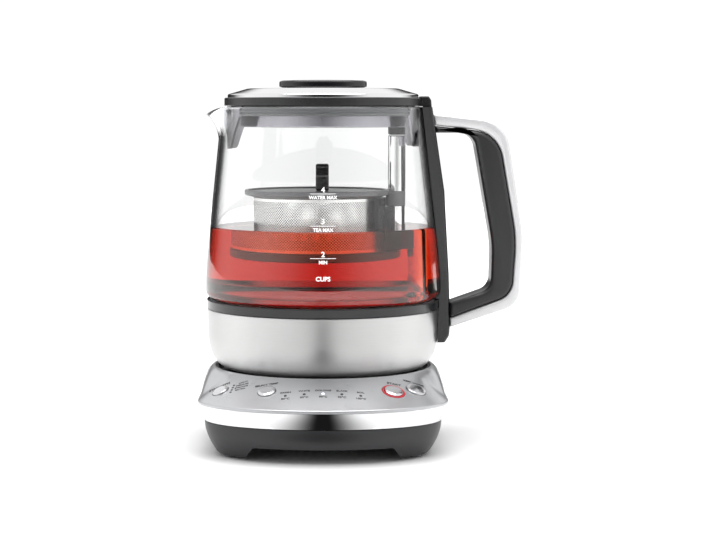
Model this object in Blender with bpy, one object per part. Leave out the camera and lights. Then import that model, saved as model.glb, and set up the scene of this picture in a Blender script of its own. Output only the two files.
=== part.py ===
"""An automatic tea maker: a glass jug with a travelling tea basket on a powered base.

Metres, +Z up. The front, with its buttons, faces -Y and the jug's handle points to +X.
Everything is drawn round the jug's own axis and hangs on one empty, which puts the
origin at the middle of the footprint on the table.
"""
import math

import bmesh
import bpy
from mathutils import Matrix, Vector

# Clearances that all pieces share
GAP = 0.0003
OVERRUN = 0.004
BOOLEAN_STEP = 0.00002

# Plan of the base round the jug's seat: two half ellipses joined by straight sides
SEAT_RADIUS = 0.0665
DECK_SIDE_MARGIN = 0.0078
DECK_FRONT_MARGIN = 0.0305
DECK_REAR_MARGIN = 0.0105
BASE_FRONT_ARC_DEPTH = 0.0460
BASE_REAR_ARC_DEPTH = 0.0570
BASE_SIDES = 32

# Heights and insets of the base's layers
PAD_HEIGHT = 0.0012
TUB_FLOOR_Z = 0.0015
TUB_TOP_Z = 0.0207
TUB_TOP_INSET = 0.0040
TUB_BELLY_DEPTH = 0.0090
TUB_BELLY_POWER = 1.9
TUB_LEVELS = 3
TUB_WALL = 0.0025
TUB_UPSTAND_INSET = 0.0056
ARCH_SIDE_LAND = 0.0335
ARCH_SPLAY = 0.0055
ARCH_HEIGHT = 0.0087
BAND_HEIGHT = 0.0095
BAND_TOP_INSET = 0.0015
BAND_THICKNESS = 0.0013
DECK_RIM_HEIGHT = 0.0020
DECK_RIM_ROUNDING = 0.0008
DECK_WALL = 0.0018
DISH_DEPTH = 0.0054
DECK_FLANGE_DEPTH = 0.0040
DECK_RING_SHARES = (0.0, 0.15, 0.45, 1.0)
DECK_INNER_SHARES = (0.0, 1.0)
DECK_FRONT_WIDTH = 0.0240
DECK_SIDE_WIDTH = 0.0100

# Seat, connector and feet
DISH_WALL = 0.0014
DISH_FLOOR_Z = 0.0415
DISH_RIM_DROP = 0.0004
HUB_RADIUS = 0.0210
HUB_HEIGHT = 0.0065
HUB_GROOVE_RADIUS = 0.0120
HUB_GROOVE_WIDTH = 0.0024
HUB_GROOVE_DEPTH = 0.0030
PAD_LENGTH = 0.0240
PAD_WIDTH = 0.0080
PAD_SIDE_MARGIN = 0.0198
PAD_FRONT_MARGIN = 0.0450
PAD_REAR_MARGIN = 0.0610
OUTLET_RADIUS = 0.0034
OUTLET_LENGTH = 0.0060
OUTLET_Z = 0.0148
OUTLET_LIP = 0.0008

# Buttons: polar angle from +X in degrees, share of the way from the rim to the seat, radius
STRENGTH_ANGLE = -136.2
STRENGTH_SHARE = 0.405
STRENGTH_RADIUS = 0.0050
TEMPERATURE_ANGLE = -114.0
TEMPERATURE_SHARE = 0.544
TEMPERATURE_RADIUS = 0.0053
START_ANGLE = -59.8
START_SHARE = 0.512
START_RADIUS = 0.0055
CUSTOM_ANGLE = -48.5
CUSTOM_SHARE = 0.482
CUSTOM_RADIUS = 0.0060
BUTTON_PROUD = 0.0010
BUTTON_CROWN = 0.0004
BUTTON_CROWN_SHARE = 0.7
BUTTON_COLLAR = 0.0012
BUTTON_STEM_RADIUS = 0.0022
BUTTON_TRAVEL = 0.0008
BUTTON_DEPTH = 0.0060
BUTTON_SEGMENTS = 12
RING_LIGHT_WIDTH = 0.0010
SWITCH_SIZE = 0.0060

# Light windows on the deck
LED_COUNT = 5
LED_PITCH = 0.0109
LED_FRONT_MARGIN = 0.0164
LED_WINDOW_LENGTH = 0.0022
LED_WINDOW_WIDTH = 0.0010
STRENGTH_LED_COUNT = 4
STRENGTH_LED_ANGLE = -128.5
STRENGTH_LED_SHARE = 0.42
STRENGTH_LED_PITCH = 0.0031
STRENGTH_LED_RADIUS = 0.0006
GUIDE_BACK = 0.0016
BOARD_THICKNESS = 0.0016
BOARD_DROP = 0.0156
BOARD_INSET = 0.0100
BOARD_INSIDE_MARGIN = 0.0045
BOARD_START_ANGLE = -145.0
BOARD_END_ANGLE = -35.0
BOARD_STEPS = 9
BOARD_POST_ANGLES = (-110.0, -70.0)
POWER_BOARD_LENGTH = 0.0560
POWER_BOARD_WIDTH = 0.0360
POWER_BOARD_REAR_MARGIN = 0.0440
POWER_BOARD_POST_SHARE = 0.33
BOARD_POST_RADIUS = 0.0030

# Steel lower part of the jug
SHELL_OVERHANG = 0.0048
SHELL_HEIGHT = 0.0361
SHELL_TAPER = 0.0004
SHELL_CURVE_HEIGHT = 0.0213
SHELL_CURVE_WIDTH = 0.0124
SHELL_LIP_INSET = 0.0065
SHELL_LIP_RISE = 0.0047
SHELL_WALL = 0.0010
SHELL_STEPS = 3
JUG_SIDES = 24
COLLAR_STEP = 0.0003
COLLAR_HEIGHT = 0.0055
COLLAR_WALL = 0.0012
COLLAR_SHELF_WIDTH = 0.0085
SEAL_HEIGHT = 0.0037
SEAL_BASE = 0.0010
PLATE_THICKNESS = 0.0012
PLATE_RIM_DEPTH = 0.0022
PLATE_DROP = 0.0008
DIFFUSER_INSET = 0.0147
DIFFUSER_THICKNESS = 0.0030
ELEMENT_INSET = 0.0100
ELEMENT_TUBE_RADIUS = 0.0035
ELEMENT_OPENING_ANGLE = 50.0
UNDERSIDE_FOOT_INSET = 0.0105
UNDERSIDE_FOOT_WIDTH = 0.0050
UNDERSIDE_THICKNESS = 0.0020
UNDERSIDE_RISE = 0.0025
UNDERSIDE_WALL_HEIGHT = 0.0060
SOCKET_WALL = 0.0020
SOCKET_CLEARANCE = 0.0008
SOCKET_ROOF = 0.0020
SOCKET_PIN_RADIUS = 0.0045

# Glass
GLASS_OVERHANG = 0.0010
GLASS_HEIGHT = 0.1171
GLASS_SHOULDER_RISE = 0.0148
GLASS_SHOULDER_REACH = 0.0120
GLASS_WALL = 0.0026
GLASS_CORNER_WIDTH = 0.0050
GLASS_CORNER_HEIGHT = 0.0060
GLASS_NECK_DEPTH = 0.0030
SPOUT_REACH = 0.0100
SPOUT_DIP = 0.0045
SPOUT_HEIGHT = 0.0200
SPOUT_HALF_ANGLE = 21.0
SPOUT_RING_SHARES = (0.35, 0.7, 1.0)
GLASS_ARC_STEPS = 3
SPOUT_LIFT_POWER = 1.5
SPOUT_COLUMN_PARTS = 3

# Post that the basket rides on
POST_INSET = 0.0110
POST_RADIUS = 0.0054
POST_TOP_DROP = 0.0174
POST_COLLAR_HEIGHT = 0.0067
POST_CAP_HEIGHT = 0.0033
POST_FOOT_RADIUS = 0.0080
POST_FOOT_HEIGHT = 0.0016
ROUND_SEGMENTS = 16

# Basket, its carrier and its cover
BASKET_RING_CLEARANCE = 0.0118
BASKET_POST_OFFSET = 0.0045
BASKET_DROP = 0.0505
BASKET_RING_HEIGHT = 0.0045
BASKET_SIDES = 20
BASKET_RING_OVERHANG = 0.0055
BASKET_WALL = 0.0008
BASKET_DEPTH = 0.0373
BASKET_PERFORATION_MARGIN = 0.0015
PERFORATION_COLUMNS = 20
PERFORATION_ROWS = 4
PERFORATION_RIB = 0.0008
STAGGER_SHARE = 0.5
BASKET_FOOT_HEIGHT = 0.0052
BASKET_FOOT_INSET = 0.0006
FLOOR_RINGS = 2
FLOOR_COLUMNS = 10
FLOOR_RIM_WIDTH = 0.0040
FLOOR_EYE_RADIUS = 0.0080
FLOOR_THICKNESS = 0.0010
NUB_COUNT = 4
NUB_RADIUS = 0.0018
NUB_HEIGHT = 0.0010
SLEEVE_WALL = 0.0015
SLEEVE_HEIGHT = 0.0093
SLEEVE_TOP_DROP = 0.0009
ARM_HALF_WIDTH = 0.0080
BRACKET_THICKNESS = 0.0031
BRACKET_HALF_ANGLE = 29.0
CARRIAGE_HALF_WIDTH = 0.0078
CARRIAGE_AXIS_SETBACK = 0.0023
BRACKET_COLUMNS = 6
COVER_THICKNESS = 0.0016
COVER_RECESS = 0.0030
COVER_EDGE = 0.0024
COVER_CROWN_RADIUS = 0.0220
COVER_GRIP_LENGTH = 0.0220
COVER_GRIP_WIDTH = 0.0080
COVER_GRIP_HEIGHT = 0.0162
COVER_GRIP_SHIFT = 0.0032
COVER_GRIP_WAIST_SHARE = 0.7
COVER_GRIP_BEVEL = 0.0015

# Lid
LID_SETBACK = 0.0016
LID_HEIGHT = 0.0050
LID_ROUNDING = 0.0014
LID_FLOOR_THICKNESS = 0.0016
LID_PLUG_RADIUS = 0.0563
LID_PLUG_CLEARANCE = 0.0057
LID_PLUG_WALL = 0.0015
LID_PLUG_DEPTH = 0.0062
LID_BORDER = 0.0020
DOME_EDGE_RISE = 0.0030
DOME_SHOULDER_INSET = 0.0018
DOME_SHOULDER_RISE = 0.0004
DOME_TOP_INSET = 0.0120
DOME_TOP_RISE = 0.0033
DOME_WALL = 0.0009
DOME_SINK = 0.0008
KNOB_LENGTH = 0.0536
KNOB_WIDTH = 0.0260
KNOB_HEIGHT = 0.0047
KNOB_NECK_HEIGHT = 0.0006
KNOB_NECK_SHARE = 0.95
KNOB_EDGE_SHARE = 0.94
KNOB_PIN_RADIUS = 0.0060
KNOB_SEGMENTS = 20
KNOB_NECK_FLARE = 0.0007
KNOB_TOP_DROP = 0.0005
SEAL_BAND = 0.0005
SEAL_RIB_REACH = 0.0017
SEAL_RIB_COUNT = 2
SEAL_END_SHARE = 0.5
SEAL_RUNOUT_ANGLE = 1.5
SEAL_RIB_HEIGHT = 0.0010
SKIRT_INSET = 0.0059
SKIRT_WALL = 0.0014
SKIRT_DEPTH = 0.0129
SKIRT_NOTCH_HALF_WIDTH = 0.0085
TONGUE_REACH = 0.0025
TONGUE_WALL = 0.0012
SPOUT_TONGUE_DEPTH = 0.0260
SPOUT_TONGUE_TOP_ANGLE = 34.0
SPOUT_TONGUE_BOTTOM_ANGLE = 20.0
HANDLE_TONGUE_DEPTH = 0.0246
HANDLE_TONGUE_TOP_ANGLE = 30.0
HANDLE_TONGUE_BOTTOM_ANGLE = 24.0
TONGUE_COLUMNS = 6
TONGUE_CORNER_SHARE = 0.7

# Handle: the corners of its outlines in the x-z plane, and the rounding at each
HANDLE_SPAN = 0.0443
HANDLE_TOP_SETBACK = 0.0047
HANDLE_TOP_DROP = 0.0040
HANDLE_SHOULDER_INSET = 0.0113
HANDLE_SHOULDER_ROUNDING = 0.0200
HANDLE_BULGE_SHARE = 0.4203
HANDLE_BULGE_ROUNDING = 0.0900
HANDLE_HEEL_INSET = 0.0023
HANDLE_HEEL_RISE = 0.0138
HANDLE_HEEL_ROUNDING = 0.0130
HANDLE_TOE_DROP = 0.0114
TRIM_TOP_THICKNESS = 0.0066
TRIM_SIDE_THICKNESS = 0.0041
TRIM_TOE_THICKNESS = 0.0056
TRIM_HALF_WIDTH = 0.0110
GRIP_HALF_WIDTH = 0.0120
GRIP_BEVEL = 0.0022
TRIM_BEVEL = 0.0012
FINGER_TOP_SETBACK = 0.0110
FINGER_SHOULDER_INSET = 0.0118
FINGER_SHOULDER_ROUNDING = 0.0100
GRIP_THICKNESS = 0.0190
FINGER_BULGE_SHARE = 0.3420
FINGER_BULGE_ROUNDING = 0.0800
FINGER_HEEL_INSET = 0.0007
FINGER_HEEL_RISE = 0.0087
FINGER_HEEL_ROUNDING = 0.0090
FINGER_TOE_RISE = 0.0151
SPINE_TOP_RISE = 0.0009
SPINE_TOP_DEPTH = 0.0040
SPINE_HEAD_DEPTH = 0.0038
SPINE_SHOULDER_DEPTH = 0.0066
SPINE_WAIST_DEPTH = 0.0045
SPINE_ROUNDING = 0.1500
SPINE_CAP_HALF_WIDTH = 0.0102
SPINE_FOOT_DEPTH = 0.0064
SPINE_BOTTOM_DROP = 0.0210
SPINE_CHAMFER = 0.0060
SPINE_TOP_HALF_WIDTH = 0.0170
SPINE_BOTTOM_HALF_WIDTH = 0.0100
SPINE_BEVEL = 0.0010
ARC_STEP_ANGLE = 18.0
SMOOTH_ANGLE = 35.0
NORMAL_STEP_ANGLE = 1.0
NORMAL_STEP_SHARE = 0.02

# Places on the base that follow from the sizes above
BASE_HALF_WIDTH = SEAT_RADIUS + DECK_SIDE_MARGIN
BASE_FRONT = SEAT_RADIUS + DECK_FRONT_MARGIN
BASE_BACK = SEAT_RADIUS + DECK_REAR_MARGIN
BASE_FRONT_ARC_Y = BASE_FRONT_ARC_DEPTH - BASE_FRONT
BASE_REAR_ARC_Y = BASE_BACK - BASE_REAR_ARC_DEPTH
BAND_BOTTOM_Z = TUB_TOP_Z + GAP
BAND_TOP_Z = BAND_BOTTOM_Z + BAND_HEIGHT
DECK_BOTTOM_Z = BAND_TOP_Z + GAP
DECK_RIM_Z = DECK_BOTTOM_Z + DECK_RIM_HEIGHT
DECK_LIP_Z = DISH_FLOOR_Z + DISH_DEPTH
HUB_TOP_Z = DISH_FLOOR_Z + HUB_HEIGHT
ARCH_TOP_HALF_WIDTH = BASE_HALF_WIDTH - ARCH_SIDE_LAND
ARCH_FOOT_HALF_WIDTH = ARCH_TOP_HALF_WIDTH + ARCH_SPLAY
PAD_X = BASE_HALF_WIDTH - PAD_SIDE_MARGIN
PAD_FRONT_Y = PAD_FRONT_MARGIN - BASE_FRONT
PAD_REAR_Y = BASE_BACK - PAD_REAR_MARGIN
LED_ROW_Y = LED_FRONT_MARGIN - BASE_FRONT
BOARD_Z = DISH_FLOOR_Z - BOARD_DROP
BOARD_INNER_RADIUS = SEAT_RADIUS - BOARD_INSIDE_MARGIN
POWER_BOARD_Y = BASE_BACK - POWER_BOARD_REAR_MARGIN

# Places on the jug
SHELL_RADIUS = SEAT_RADIUS + SHELL_OVERHANG
SHELL_WAIST_RADIUS = SHELL_RADIUS - SHELL_TAPER
SHELL_LIP_RADIUS = SEAT_RADIUS - SHELL_LIP_INSET
SHELL_LIP_Z = DISH_FLOOR_Z + SHELL_LIP_RISE
SHELL_WAIST_Z = SHELL_LIP_Z + SHELL_CURVE_HEIGHT
SHELL_TOP_Z = SHELL_LIP_Z + SHELL_HEIGHT
UNDERSIDE_Z = DISH_FLOOR_Z + UNDERSIDE_RISE
UNDERSIDE_FOOT_RADIUS = SEAT_RADIUS - UNDERSIDE_FOOT_INSET
COLLAR_RADIUS = SHELL_RADIUS + COLLAR_STEP
COLLAR_Z = SHELL_TOP_Z + GAP
SEAL_Z = COLLAR_Z + COLLAR_WALL + GAP
GLASS_FOOT_RADIUS = COLLAR_RADIUS + GLASS_OVERHANG
GLASS_RIM_RADIUS = LID_PLUG_RADIUS + LID_PLUG_CLEARANCE
GLASS_BOTTOM_Z = COLLAR_Z + COLLAR_HEIGHT + GAP
GLASS_SHOULDER_Z = GLASS_BOTTOM_Z + GLASS_SHOULDER_RISE
GLASS_RIM_Z = GLASS_BOTTOM_Z + GLASS_HEIGHT
GLASS_NECK_RADIUS = GLASS_FOOT_RADIUS - GLASS_CORNER_WIDTH
GLASS_NECK_Z = GLASS_BOTTOM_Z - GLASS_NECK_DEPTH
GLASS_SLOPE = (GLASS_FOOT_RADIUS - GLASS_RIM_RADIUS) / (GLASS_RIM_Z - GLASS_SHOULDER_Z)
PLATE_Z = GLASS_BOTTOM_Z - PLATE_DROP
PLATE_RADIUS = GLASS_NECK_RADIUS - GLASS_WALL - GAP
DIFFUSER_RADIUS = PLATE_RADIUS - DIFFUSER_INSET
ELEMENT_RADIUS = DIFFUSER_RADIUS - ELEMENT_INSET

# Places on the lid
LID_Z = GLASS_RIM_Z + 2 * GAP
LID_RADIUS = GLASS_RIM_RADIUS - LID_SETBACK
DOME_RADIUS = LID_RADIUS - LID_BORDER
DOME_SHOULDER_RADIUS = DOME_RADIUS - DOME_SHOULDER_INSET
DOME_TOP_RADIUS = DOME_RADIUS - DOME_TOP_INSET
DOME_Z = LID_Z + LID_HEIGHT - DOME_SINK
DOME_TOP_Z = DOME_Z + DOME_EDGE_RISE + DOME_SHOULDER_RISE + DOME_TOP_RISE
SKIRT_RADIUS = LID_PLUG_RADIUS - SKIRT_INSET
SKIRT_BOTTOM_Z = LID_Z - SKIRT_DEPTH
TONGUE_RADIUS = LID_PLUG_RADIUS + TONGUE_REACH
SEAL_RELIEF_ANGLE = math.degrees(2 * GAP / TONGUE_RADIUS)
SPOUT_TONGUE_BOTTOM_Z = LID_Z - SPOUT_TONGUE_DEPTH
HANDLE_TONGUE_BOTTOM_Z = LID_Z - HANDLE_TONGUE_DEPTH

# Places on the post and the basket
POST_X = LID_PLUG_RADIUS - POST_INSET
POST_TOP_Z = GLASS_RIM_Z - POST_TOP_DROP
BASKET_RING_RADIUS = LID_PLUG_RADIUS - BASKET_RING_CLEARANCE
BASKET_RADIUS = BASKET_RING_RADIUS - BASKET_RING_OVERHANG
BASKET_X = POST_X - BASKET_RING_RADIUS - BASKET_POST_OFFSET
BASKET_RING_TOP_Z = GLASS_RIM_Z - BASKET_DROP
BASKET_FLOOR_Z = BASKET_RING_TOP_Z - BASKET_DEPTH

# Places on the handle
SPINE_TOP_Z = LID_Z + LID_HEIGHT + SPINE_TOP_RISE
SPINE_HEAD_X = GLASS_RIM_RADIUS + SPINE_HEAD_DEPTH
SPINE_SHOULDER_X = (GLASS_FOOT_RADIUS + GLASS_RIM_RADIUS) / 2 + SPINE_SHOULDER_DEPTH
SPINE_SHOULDER_Z = (GLASS_SHOULDER_Z + GLASS_RIM_Z) / 2
SPINE_WAIST_X = GLASS_FOOT_RADIUS + SPINE_WAIST_DEPTH
SPINE_FOOT_X = COLLAR_RADIUS + SPINE_FOOT_DEPTH
SPINE_BOTTOM_Z = SHELL_TOP_Z - SPINE_BOTTOM_DROP
HANDLE_REACH = SPINE_FOOT_X + HANDLE_SPAN
HANDLE_SHOULDER_X = HANDLE_REACH - HANDLE_SHOULDER_INSET
HANDLE_HEEL_X = HANDLE_REACH - HANDLE_HEEL_INSET
HANDLE_TOP_Z = GLASS_RIM_Z - HANDLE_TOP_SETBACK
HANDLE_TOE_Z = SHELL_TOP_Z - HANDLE_TOE_DROP
HANDLE_BULGE_Z = HANDLE_TOE_Z + (HANDLE_TOP_Z - HANDLE_TOE_Z) * HANDLE_BULGE_SHARE
HANDLE_HEEL_Z = HANDLE_TOE_Z + HANDLE_HEEL_RISE
FINGER_TOP_Z = HANDLE_TOP_Z - FINGER_TOP_SETBACK
FINGER_TOE_Z = HANDLE_TOE_Z + FINGER_TOE_RISE
FINGER_BULGE_X = HANDLE_REACH - GRIP_THICKNESS
FINGER_BULGE_Z = FINGER_TOE_Z + (FINGER_TOP_Z - FINGER_TOE_Z) * FINGER_BULGE_SHARE
FINGER_SHOULDER_X = FINGER_BULGE_X - FINGER_SHOULDER_INSET
FINGER_HEEL_X = FINGER_BULGE_X - FINGER_HEEL_INSET
FINGER_HEEL_Z = FINGER_TOE_Z + FINGER_HEEL_RISE

# Where the jug's axis stands: the footprint's middle is the origin
AXIS_X = -(HANDLE_REACH - BASE_HALF_WIDTH) / 2
AXIS_Y = (BASE_FRONT - BASE_BACK) / 2


def material(name, colour, roughness, metallic=0.0, transmission=0.0):
    """A plain Principled material."""
    made = bpy.data.materials.new(name)
    made.use_nodes = True
    shader = made.node_tree.nodes["Principled BSDF"]
    shader.inputs["Base Color"].default_value = (*colour, 1.0)
    shader.inputs["Roughness"].default_value = roughness
    shader.inputs["Metallic"].default_value = metallic
    shader.inputs["Transmission Weight"].default_value = transmission
    made.diffuse_color = (*colour, 1.0)
    return made


def finish_mesh(name, mesh_edit):
    """Turns an edited mesh into an object with outward faces and smooth round sides."""
    bmesh.ops.remove_doubles(mesh_edit, verts=mesh_edit.verts, dist=BOOLEAN_STEP / 2)
    bmesh.ops.recalc_face_normals(mesh_edit, faces=mesh_edit.faces)
    mesh = bpy.data.meshes.new(name)
    mesh_edit.to_mesh(mesh)
    mesh_edit.free()
    mesh.shade_smooth()
    mesh.set_sharp_from_angle(angle=math.radians(SMOOTH_ANGLE))
    made = bpy.data.objects.new(name, mesh)
    bpy.context.scene.collection.objects.link(made)
    return made


def dress(made, finish, parent, location=(0.0, 0.0, 0.0), rotation=None):
    """Gives a named object its material, its parent and its place."""
    made.data.materials.clear()
    made.data.materials.append(finish)
    made.parent = parent
    made.location = location
    if rotation is not None:
        made.rotation_euler = rotation
    return made


def skin(name, loops, ring=False):
    """Closed body through loops of equal length: capped at both ends, or a closed ring."""
    edit = bmesh.new()
    rows = [[edit.verts.new(point) for point in loop] for loop in loops]
    count = len(rows[0])
    pairs = list(zip(rows, rows[1:]))
    if ring:
        pairs.append((rows[-1], rows[0]))
    for lower, upper in pairs:
        for i in range(count):
            j = (i + 1) % count
            edit.faces.new((lower[i], lower[j], upper[j], upper[i]))
    if not ring:
        edit.faces.new(reversed(rows[0]))
        edit.faces.new(rows[-1])
    return finish_mesh(name, edit)


def turned(name, profile, sides=JUG_SIDES, axis_x=0.0):
    """Body of revolution from a closed (radius, height) outline; radius 0 lies on the axis."""
    edit = bmesh.new()
    spun = [edit.verts.new((radius, 0.0, height)) for radius, height in profile]
    edges = [edit.edges.new((a, b)) for a, b in zip(spun, spun[1:])]
    if profile[0][0] > 0.0 or profile[-1][0] > 0.0:
        edges.append(edit.edges.new((spun[-1], spun[0])))
    bmesh.ops.spin(edit, geom=spun + edges, cent=(0, 0, 0), axis=(0, 0, 1),
                   angle=math.tau, steps=sides, use_merge=True)
    bmesh.ops.translate(edit, verts=edit.verts, vec=(axis_x, 0.0, 0.0))
    return finish_mesh(name, edit)


def prism(name, outline, start, end, axis="Y"):
    """An outline extruded between two stations along Y (outline in x, z) or Z (in x, y)."""
    if axis == "Y":
        loops = [[(a, station, b) for a, b in outline] for station in (start, end)]
    else:
        loops = [[(a, b, station) for a, b in outline] for station in (start, end)]
    return skin(name, loops)


def box(name, centre, size):
    """A rectangular block."""
    edit = bmesh.new()
    bmesh.ops.create_cube(edit, size=1.0)
    bmesh.ops.scale(edit, verts=edit.verts, vec=size)
    bmesh.ops.translate(edit, verts=edit.verts, vec=centre)
    return finish_mesh(name, edit)


def rounded_path(corners):
    """Points of a path whose (x, y, rounding) corners are rounded with arcs; ends stay sharp."""
    points = []
    last = len(corners) - 1
    for index, (x, y, rounding) in enumerate(corners):
        corner = Vector((x, y))
        if index in (0, last) or rounding == 0.0:
            points.append((x, y))
            continue
        before = Vector(corners[index - 1][:2]) - corner
        after = Vector(corners[index + 1][:2]) - corner
        half = before.angle(after) / 2
        reach = min(rounding / math.tan(half), before.length / 2, after.length / 2)
        rounding = reach * math.tan(half)
        start = corner + before.normalized() * reach
        middle = corner + (before.normalized() + after.normalized()).normalized() * (
            rounding / math.sin(half))
        sweep = math.pi - 2 * half
        turn = 1.0 if before.cross(after) > 0 else -1.0
        steps = max(2, round(math.degrees(sweep) / ARC_STEP_ANGLE))
        for step in range(steps + 1):
            arm = Matrix.Rotation(-turn * sweep * step / steps, 2) @ (start - middle)
            points.append(tuple(middle + arm))
    return points


def elliptic_arc(centre_x, centre_z, width, height, start, end, steps):
    """Points of an elliptical arc from start to end, in degrees."""
    angles = [math.radians(start + (end - start) * step / steps) for step in range(steps + 1)]
    return [(centre_x + width * math.cos(a), centre_z + height * math.sin(a)) for a in angles]


def apply_boolean(target, tool, operation):
    """Applies one exact Boolean and removes the tool object."""
    tool.hide_render = True
    tool.display_type = "WIRE"
    change = target.modifiers.new(operation.title(), "BOOLEAN")
    change.operation = operation
    change.object = tool
    evaluated = target.evaluated_get(bpy.context.evaluated_depsgraph_get())
    mesh = bpy.data.meshes.new_from_object(evaluated)
    target.modifiers.clear()
    old = target.data
    target.data = mesh
    mesh.name = old.name
    bpy.data.meshes.remove(old)
    bpy.data.objects.remove(tool)
    mesh.set_sharp_from_angle(angle=math.radians(SMOOTH_ANGLE))
    return target


def cut(target, *tools):
    """Takes each tool's volume out of the target."""
    for tool in tools:
        apply_boolean(target, tool, "DIFFERENCE")
    return target


def join(target, *tools):
    """Fuses each tool with the target."""
    for tool in tools:
        apply_boolean(target, tool, "UNION")
    return target


def bevelled(made, width, segments=2):
    """Rounds the sharp edges of a finished object with a Bevel modifier."""
    change = made.modifiers.new("Bevel", "BEVEL")
    change.width = width
    change.segments = segments
    change.limit_method = "ANGLE"
    change.angle_limit = math.radians(SMOOTH_ANGLE)
    change.use_clamp_overlap = True
    return made


def curved_plate(name, inner, outer, rows, columns, centre_angle=0.0, axis_x=0.0):
    """A plate bent round the Z axis; rows are (height, half angle) pairs, angles in degrees."""
    loops = []
    for height, half_angle in rows:
        angles = [math.radians(centre_angle + half_angle * (2 * step / columns - 1))
                  for step in range(columns + 1)]
        outward = [(axis_x + outer * math.cos(a), outer * math.sin(a), height) for a in angles]
        inward = [(axis_x + inner * math.cos(a), inner * math.sin(a), height) for a in angles]
        loops.append(outward + inward[::-1])
    return skin(name, loops)


def plan_radius(angle, inset=0.0):
    """Distance from the jug axis to the base's outline, drawn in by inset, at a polar angle."""
    across, along = math.cos(angle), math.sin(angle)
    half_width = BASE_HALF_WIDTH - inset
    if abs(across) > BOOLEAN_STEP:
        reach = half_width / abs(across)
        if BASE_FRONT_ARC_Y <= reach * along <= BASE_REAR_ARC_Y:
            return reach
    if along < 0:
        centre, depth = BASE_FRONT_ARC_Y, BASE_FRONT_ARC_DEPTH - inset
    else:
        centre, depth = BASE_REAR_ARC_Y, BASE_REAR_ARC_DEPTH - inset
    a = (across / half_width) ** 2 + (along / depth) ** 2
    b = -2 * along * centre / depth ** 2
    c = (centre / depth) ** 2 - 1
    return (math.sqrt(b * b - 4 * a * c) - b) / (2 * a)


def polar(angle, radius, height):
    """A point at a polar angle, in radians."""
    return (radius * math.cos(angle), radius * math.sin(angle), height)


def base_angles():
    """The polar angles of every loop of the base."""
    return [math.tau * step / BASE_SIDES for step in range(BASE_SIDES)]


def plan_loop(inset, height):
    """One loop along the base's outline."""
    return [polar(angle, plan_radius(angle, inset), height) for angle in base_angles()]


def deck_point(angle, share, drop=0.0):
    """Deck surface at a share of the way from the rim to the seat, or drop below it."""
    outer = plan_radius(angle, DECK_RIM_ROUNDING + drop)
    inner = SEAT_RADIUS + drop
    width = plan_radius(angle) - SEAT_RADIUS
    flat = min(1.0, max(0.0, (width - DECK_SIDE_WIDTH) / (DECK_FRONT_WIDTH - DECK_SIDE_WIDTH)))
    flat = flat * flat * (3 - 2 * flat)
    rise = flat * share + (1 - flat) * math.sqrt(1 - (1 - share) ** 2)
    bottom, top = DECK_RIM_Z - drop, DECK_LIP_Z - drop
    return Vector(polar(angle, outer + (inner - outer) * share, bottom + (top - bottom) * rise))


def deck_frame(angle_degrees, share):
    """Point on the deck and the rotation that turns +Z into its outward normal there."""
    angle = math.radians(angle_degrees)
    turn = math.radians(NORMAL_STEP_ANGLE)
    point = deck_point(angle, share)
    along = deck_point(angle + turn, share) - deck_point(angle - turn, share)
    uphill = (deck_point(angle, share + NORMAL_STEP_SHARE)
              - deck_point(angle, share - NORMAL_STEP_SHARE))
    normal = uphill.cross(along).normalized()
    if normal.z < 0:
        normal.negate()
    return point, normal.to_track_quat("Z", "Y").to_euler()


def pin(name, place, radius, top, bottom, segments=BUTTON_SEGMENTS):
    """A cylinder along a deck frame's normal, between two heights over the deck."""
    edit = bmesh.new()
    bmesh.ops.create_cone(edit, cap_ends=True, segments=segments, radius1=radius,
                          radius2=radius, depth=top - bottom)
    bmesh.ops.translate(edit, verts=edit.verts, vec=(0.0, 0.0, (top + bottom) / 2))
    point, rotation = place
    bmesh.ops.rotate(edit, verts=edit.verts, matrix=rotation.to_matrix())
    bmesh.ops.translate(edit, verts=edit.verts, vec=point)
    return finish_mesh(name, edit)


def slot(name, place, length, width, top, bottom):
    """A rectangular pin along a deck frame's normal."""
    edit = bmesh.new()
    bmesh.ops.create_cube(edit, size=1.0)
    bmesh.ops.scale(edit, verts=edit.verts, vec=(length, width, top - bottom))
    bmesh.ops.translate(edit, verts=edit.verts, vec=(0.0, 0.0, (top + bottom) / 2))
    point, rotation = place
    bmesh.ops.rotate(edit, verts=edit.verts, matrix=rotation.to_matrix())
    bmesh.ops.translate(edit, verts=edit.verts, vec=point)
    return finish_mesh(name, edit)


def buttons():
    """Name stem, deck angle, deck share and radius of every button."""
    return (("strength", STRENGTH_ANGLE, STRENGTH_SHARE, STRENGTH_RADIUS),
            ("temperature", TEMPERATURE_ANGLE, TEMPERATURE_SHARE, TEMPERATURE_RADIUS),
            ("start", START_ANGLE, START_SHARE, START_RADIUS),
            ("custom", CUSTOM_ANGLE, CUSTOM_SHARE, CUSTOM_RADIUS))


def led_places():
    """Deck frames of the temperature lights, in a row across the front."""
    places = []
    for index in range(LED_COUNT):
        x = LED_PITCH * (index - (LED_COUNT - 1) / 2)
        angle = math.atan2(LED_ROW_Y, x)
        outer = plan_radius(angle, DECK_RIM_ROUNDING)
        share = (outer - math.hypot(x, LED_ROW_Y)) / (outer - SEAT_RADIUS)
        places.append(deck_frame(math.degrees(angle), share))
    return places


def strength_led_places():
    """Deck frames of the strength lights, in a column beside the strength button."""
    middle, rotation = deck_frame(STRENGTH_LED_ANGLE, STRENGTH_LED_SHARE)
    down = rotation.to_matrix() @ Vector((0.0, 1.0, 0.0))
    return [(middle + down * STRENGTH_LED_PITCH * (index - (STRENGTH_LED_COUNT - 1) / 2), rotation)
            for index in range(STRENGTH_LED_COUNT)]


def tub_inset(height):
    """Inset of the tub's bellied side at a height."""
    share = (TUB_TOP_Z - height) / TUB_TOP_Z
    return TUB_TOP_INSET + TUB_BELLY_DEPTH * share ** TUB_BELLY_POWER


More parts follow.
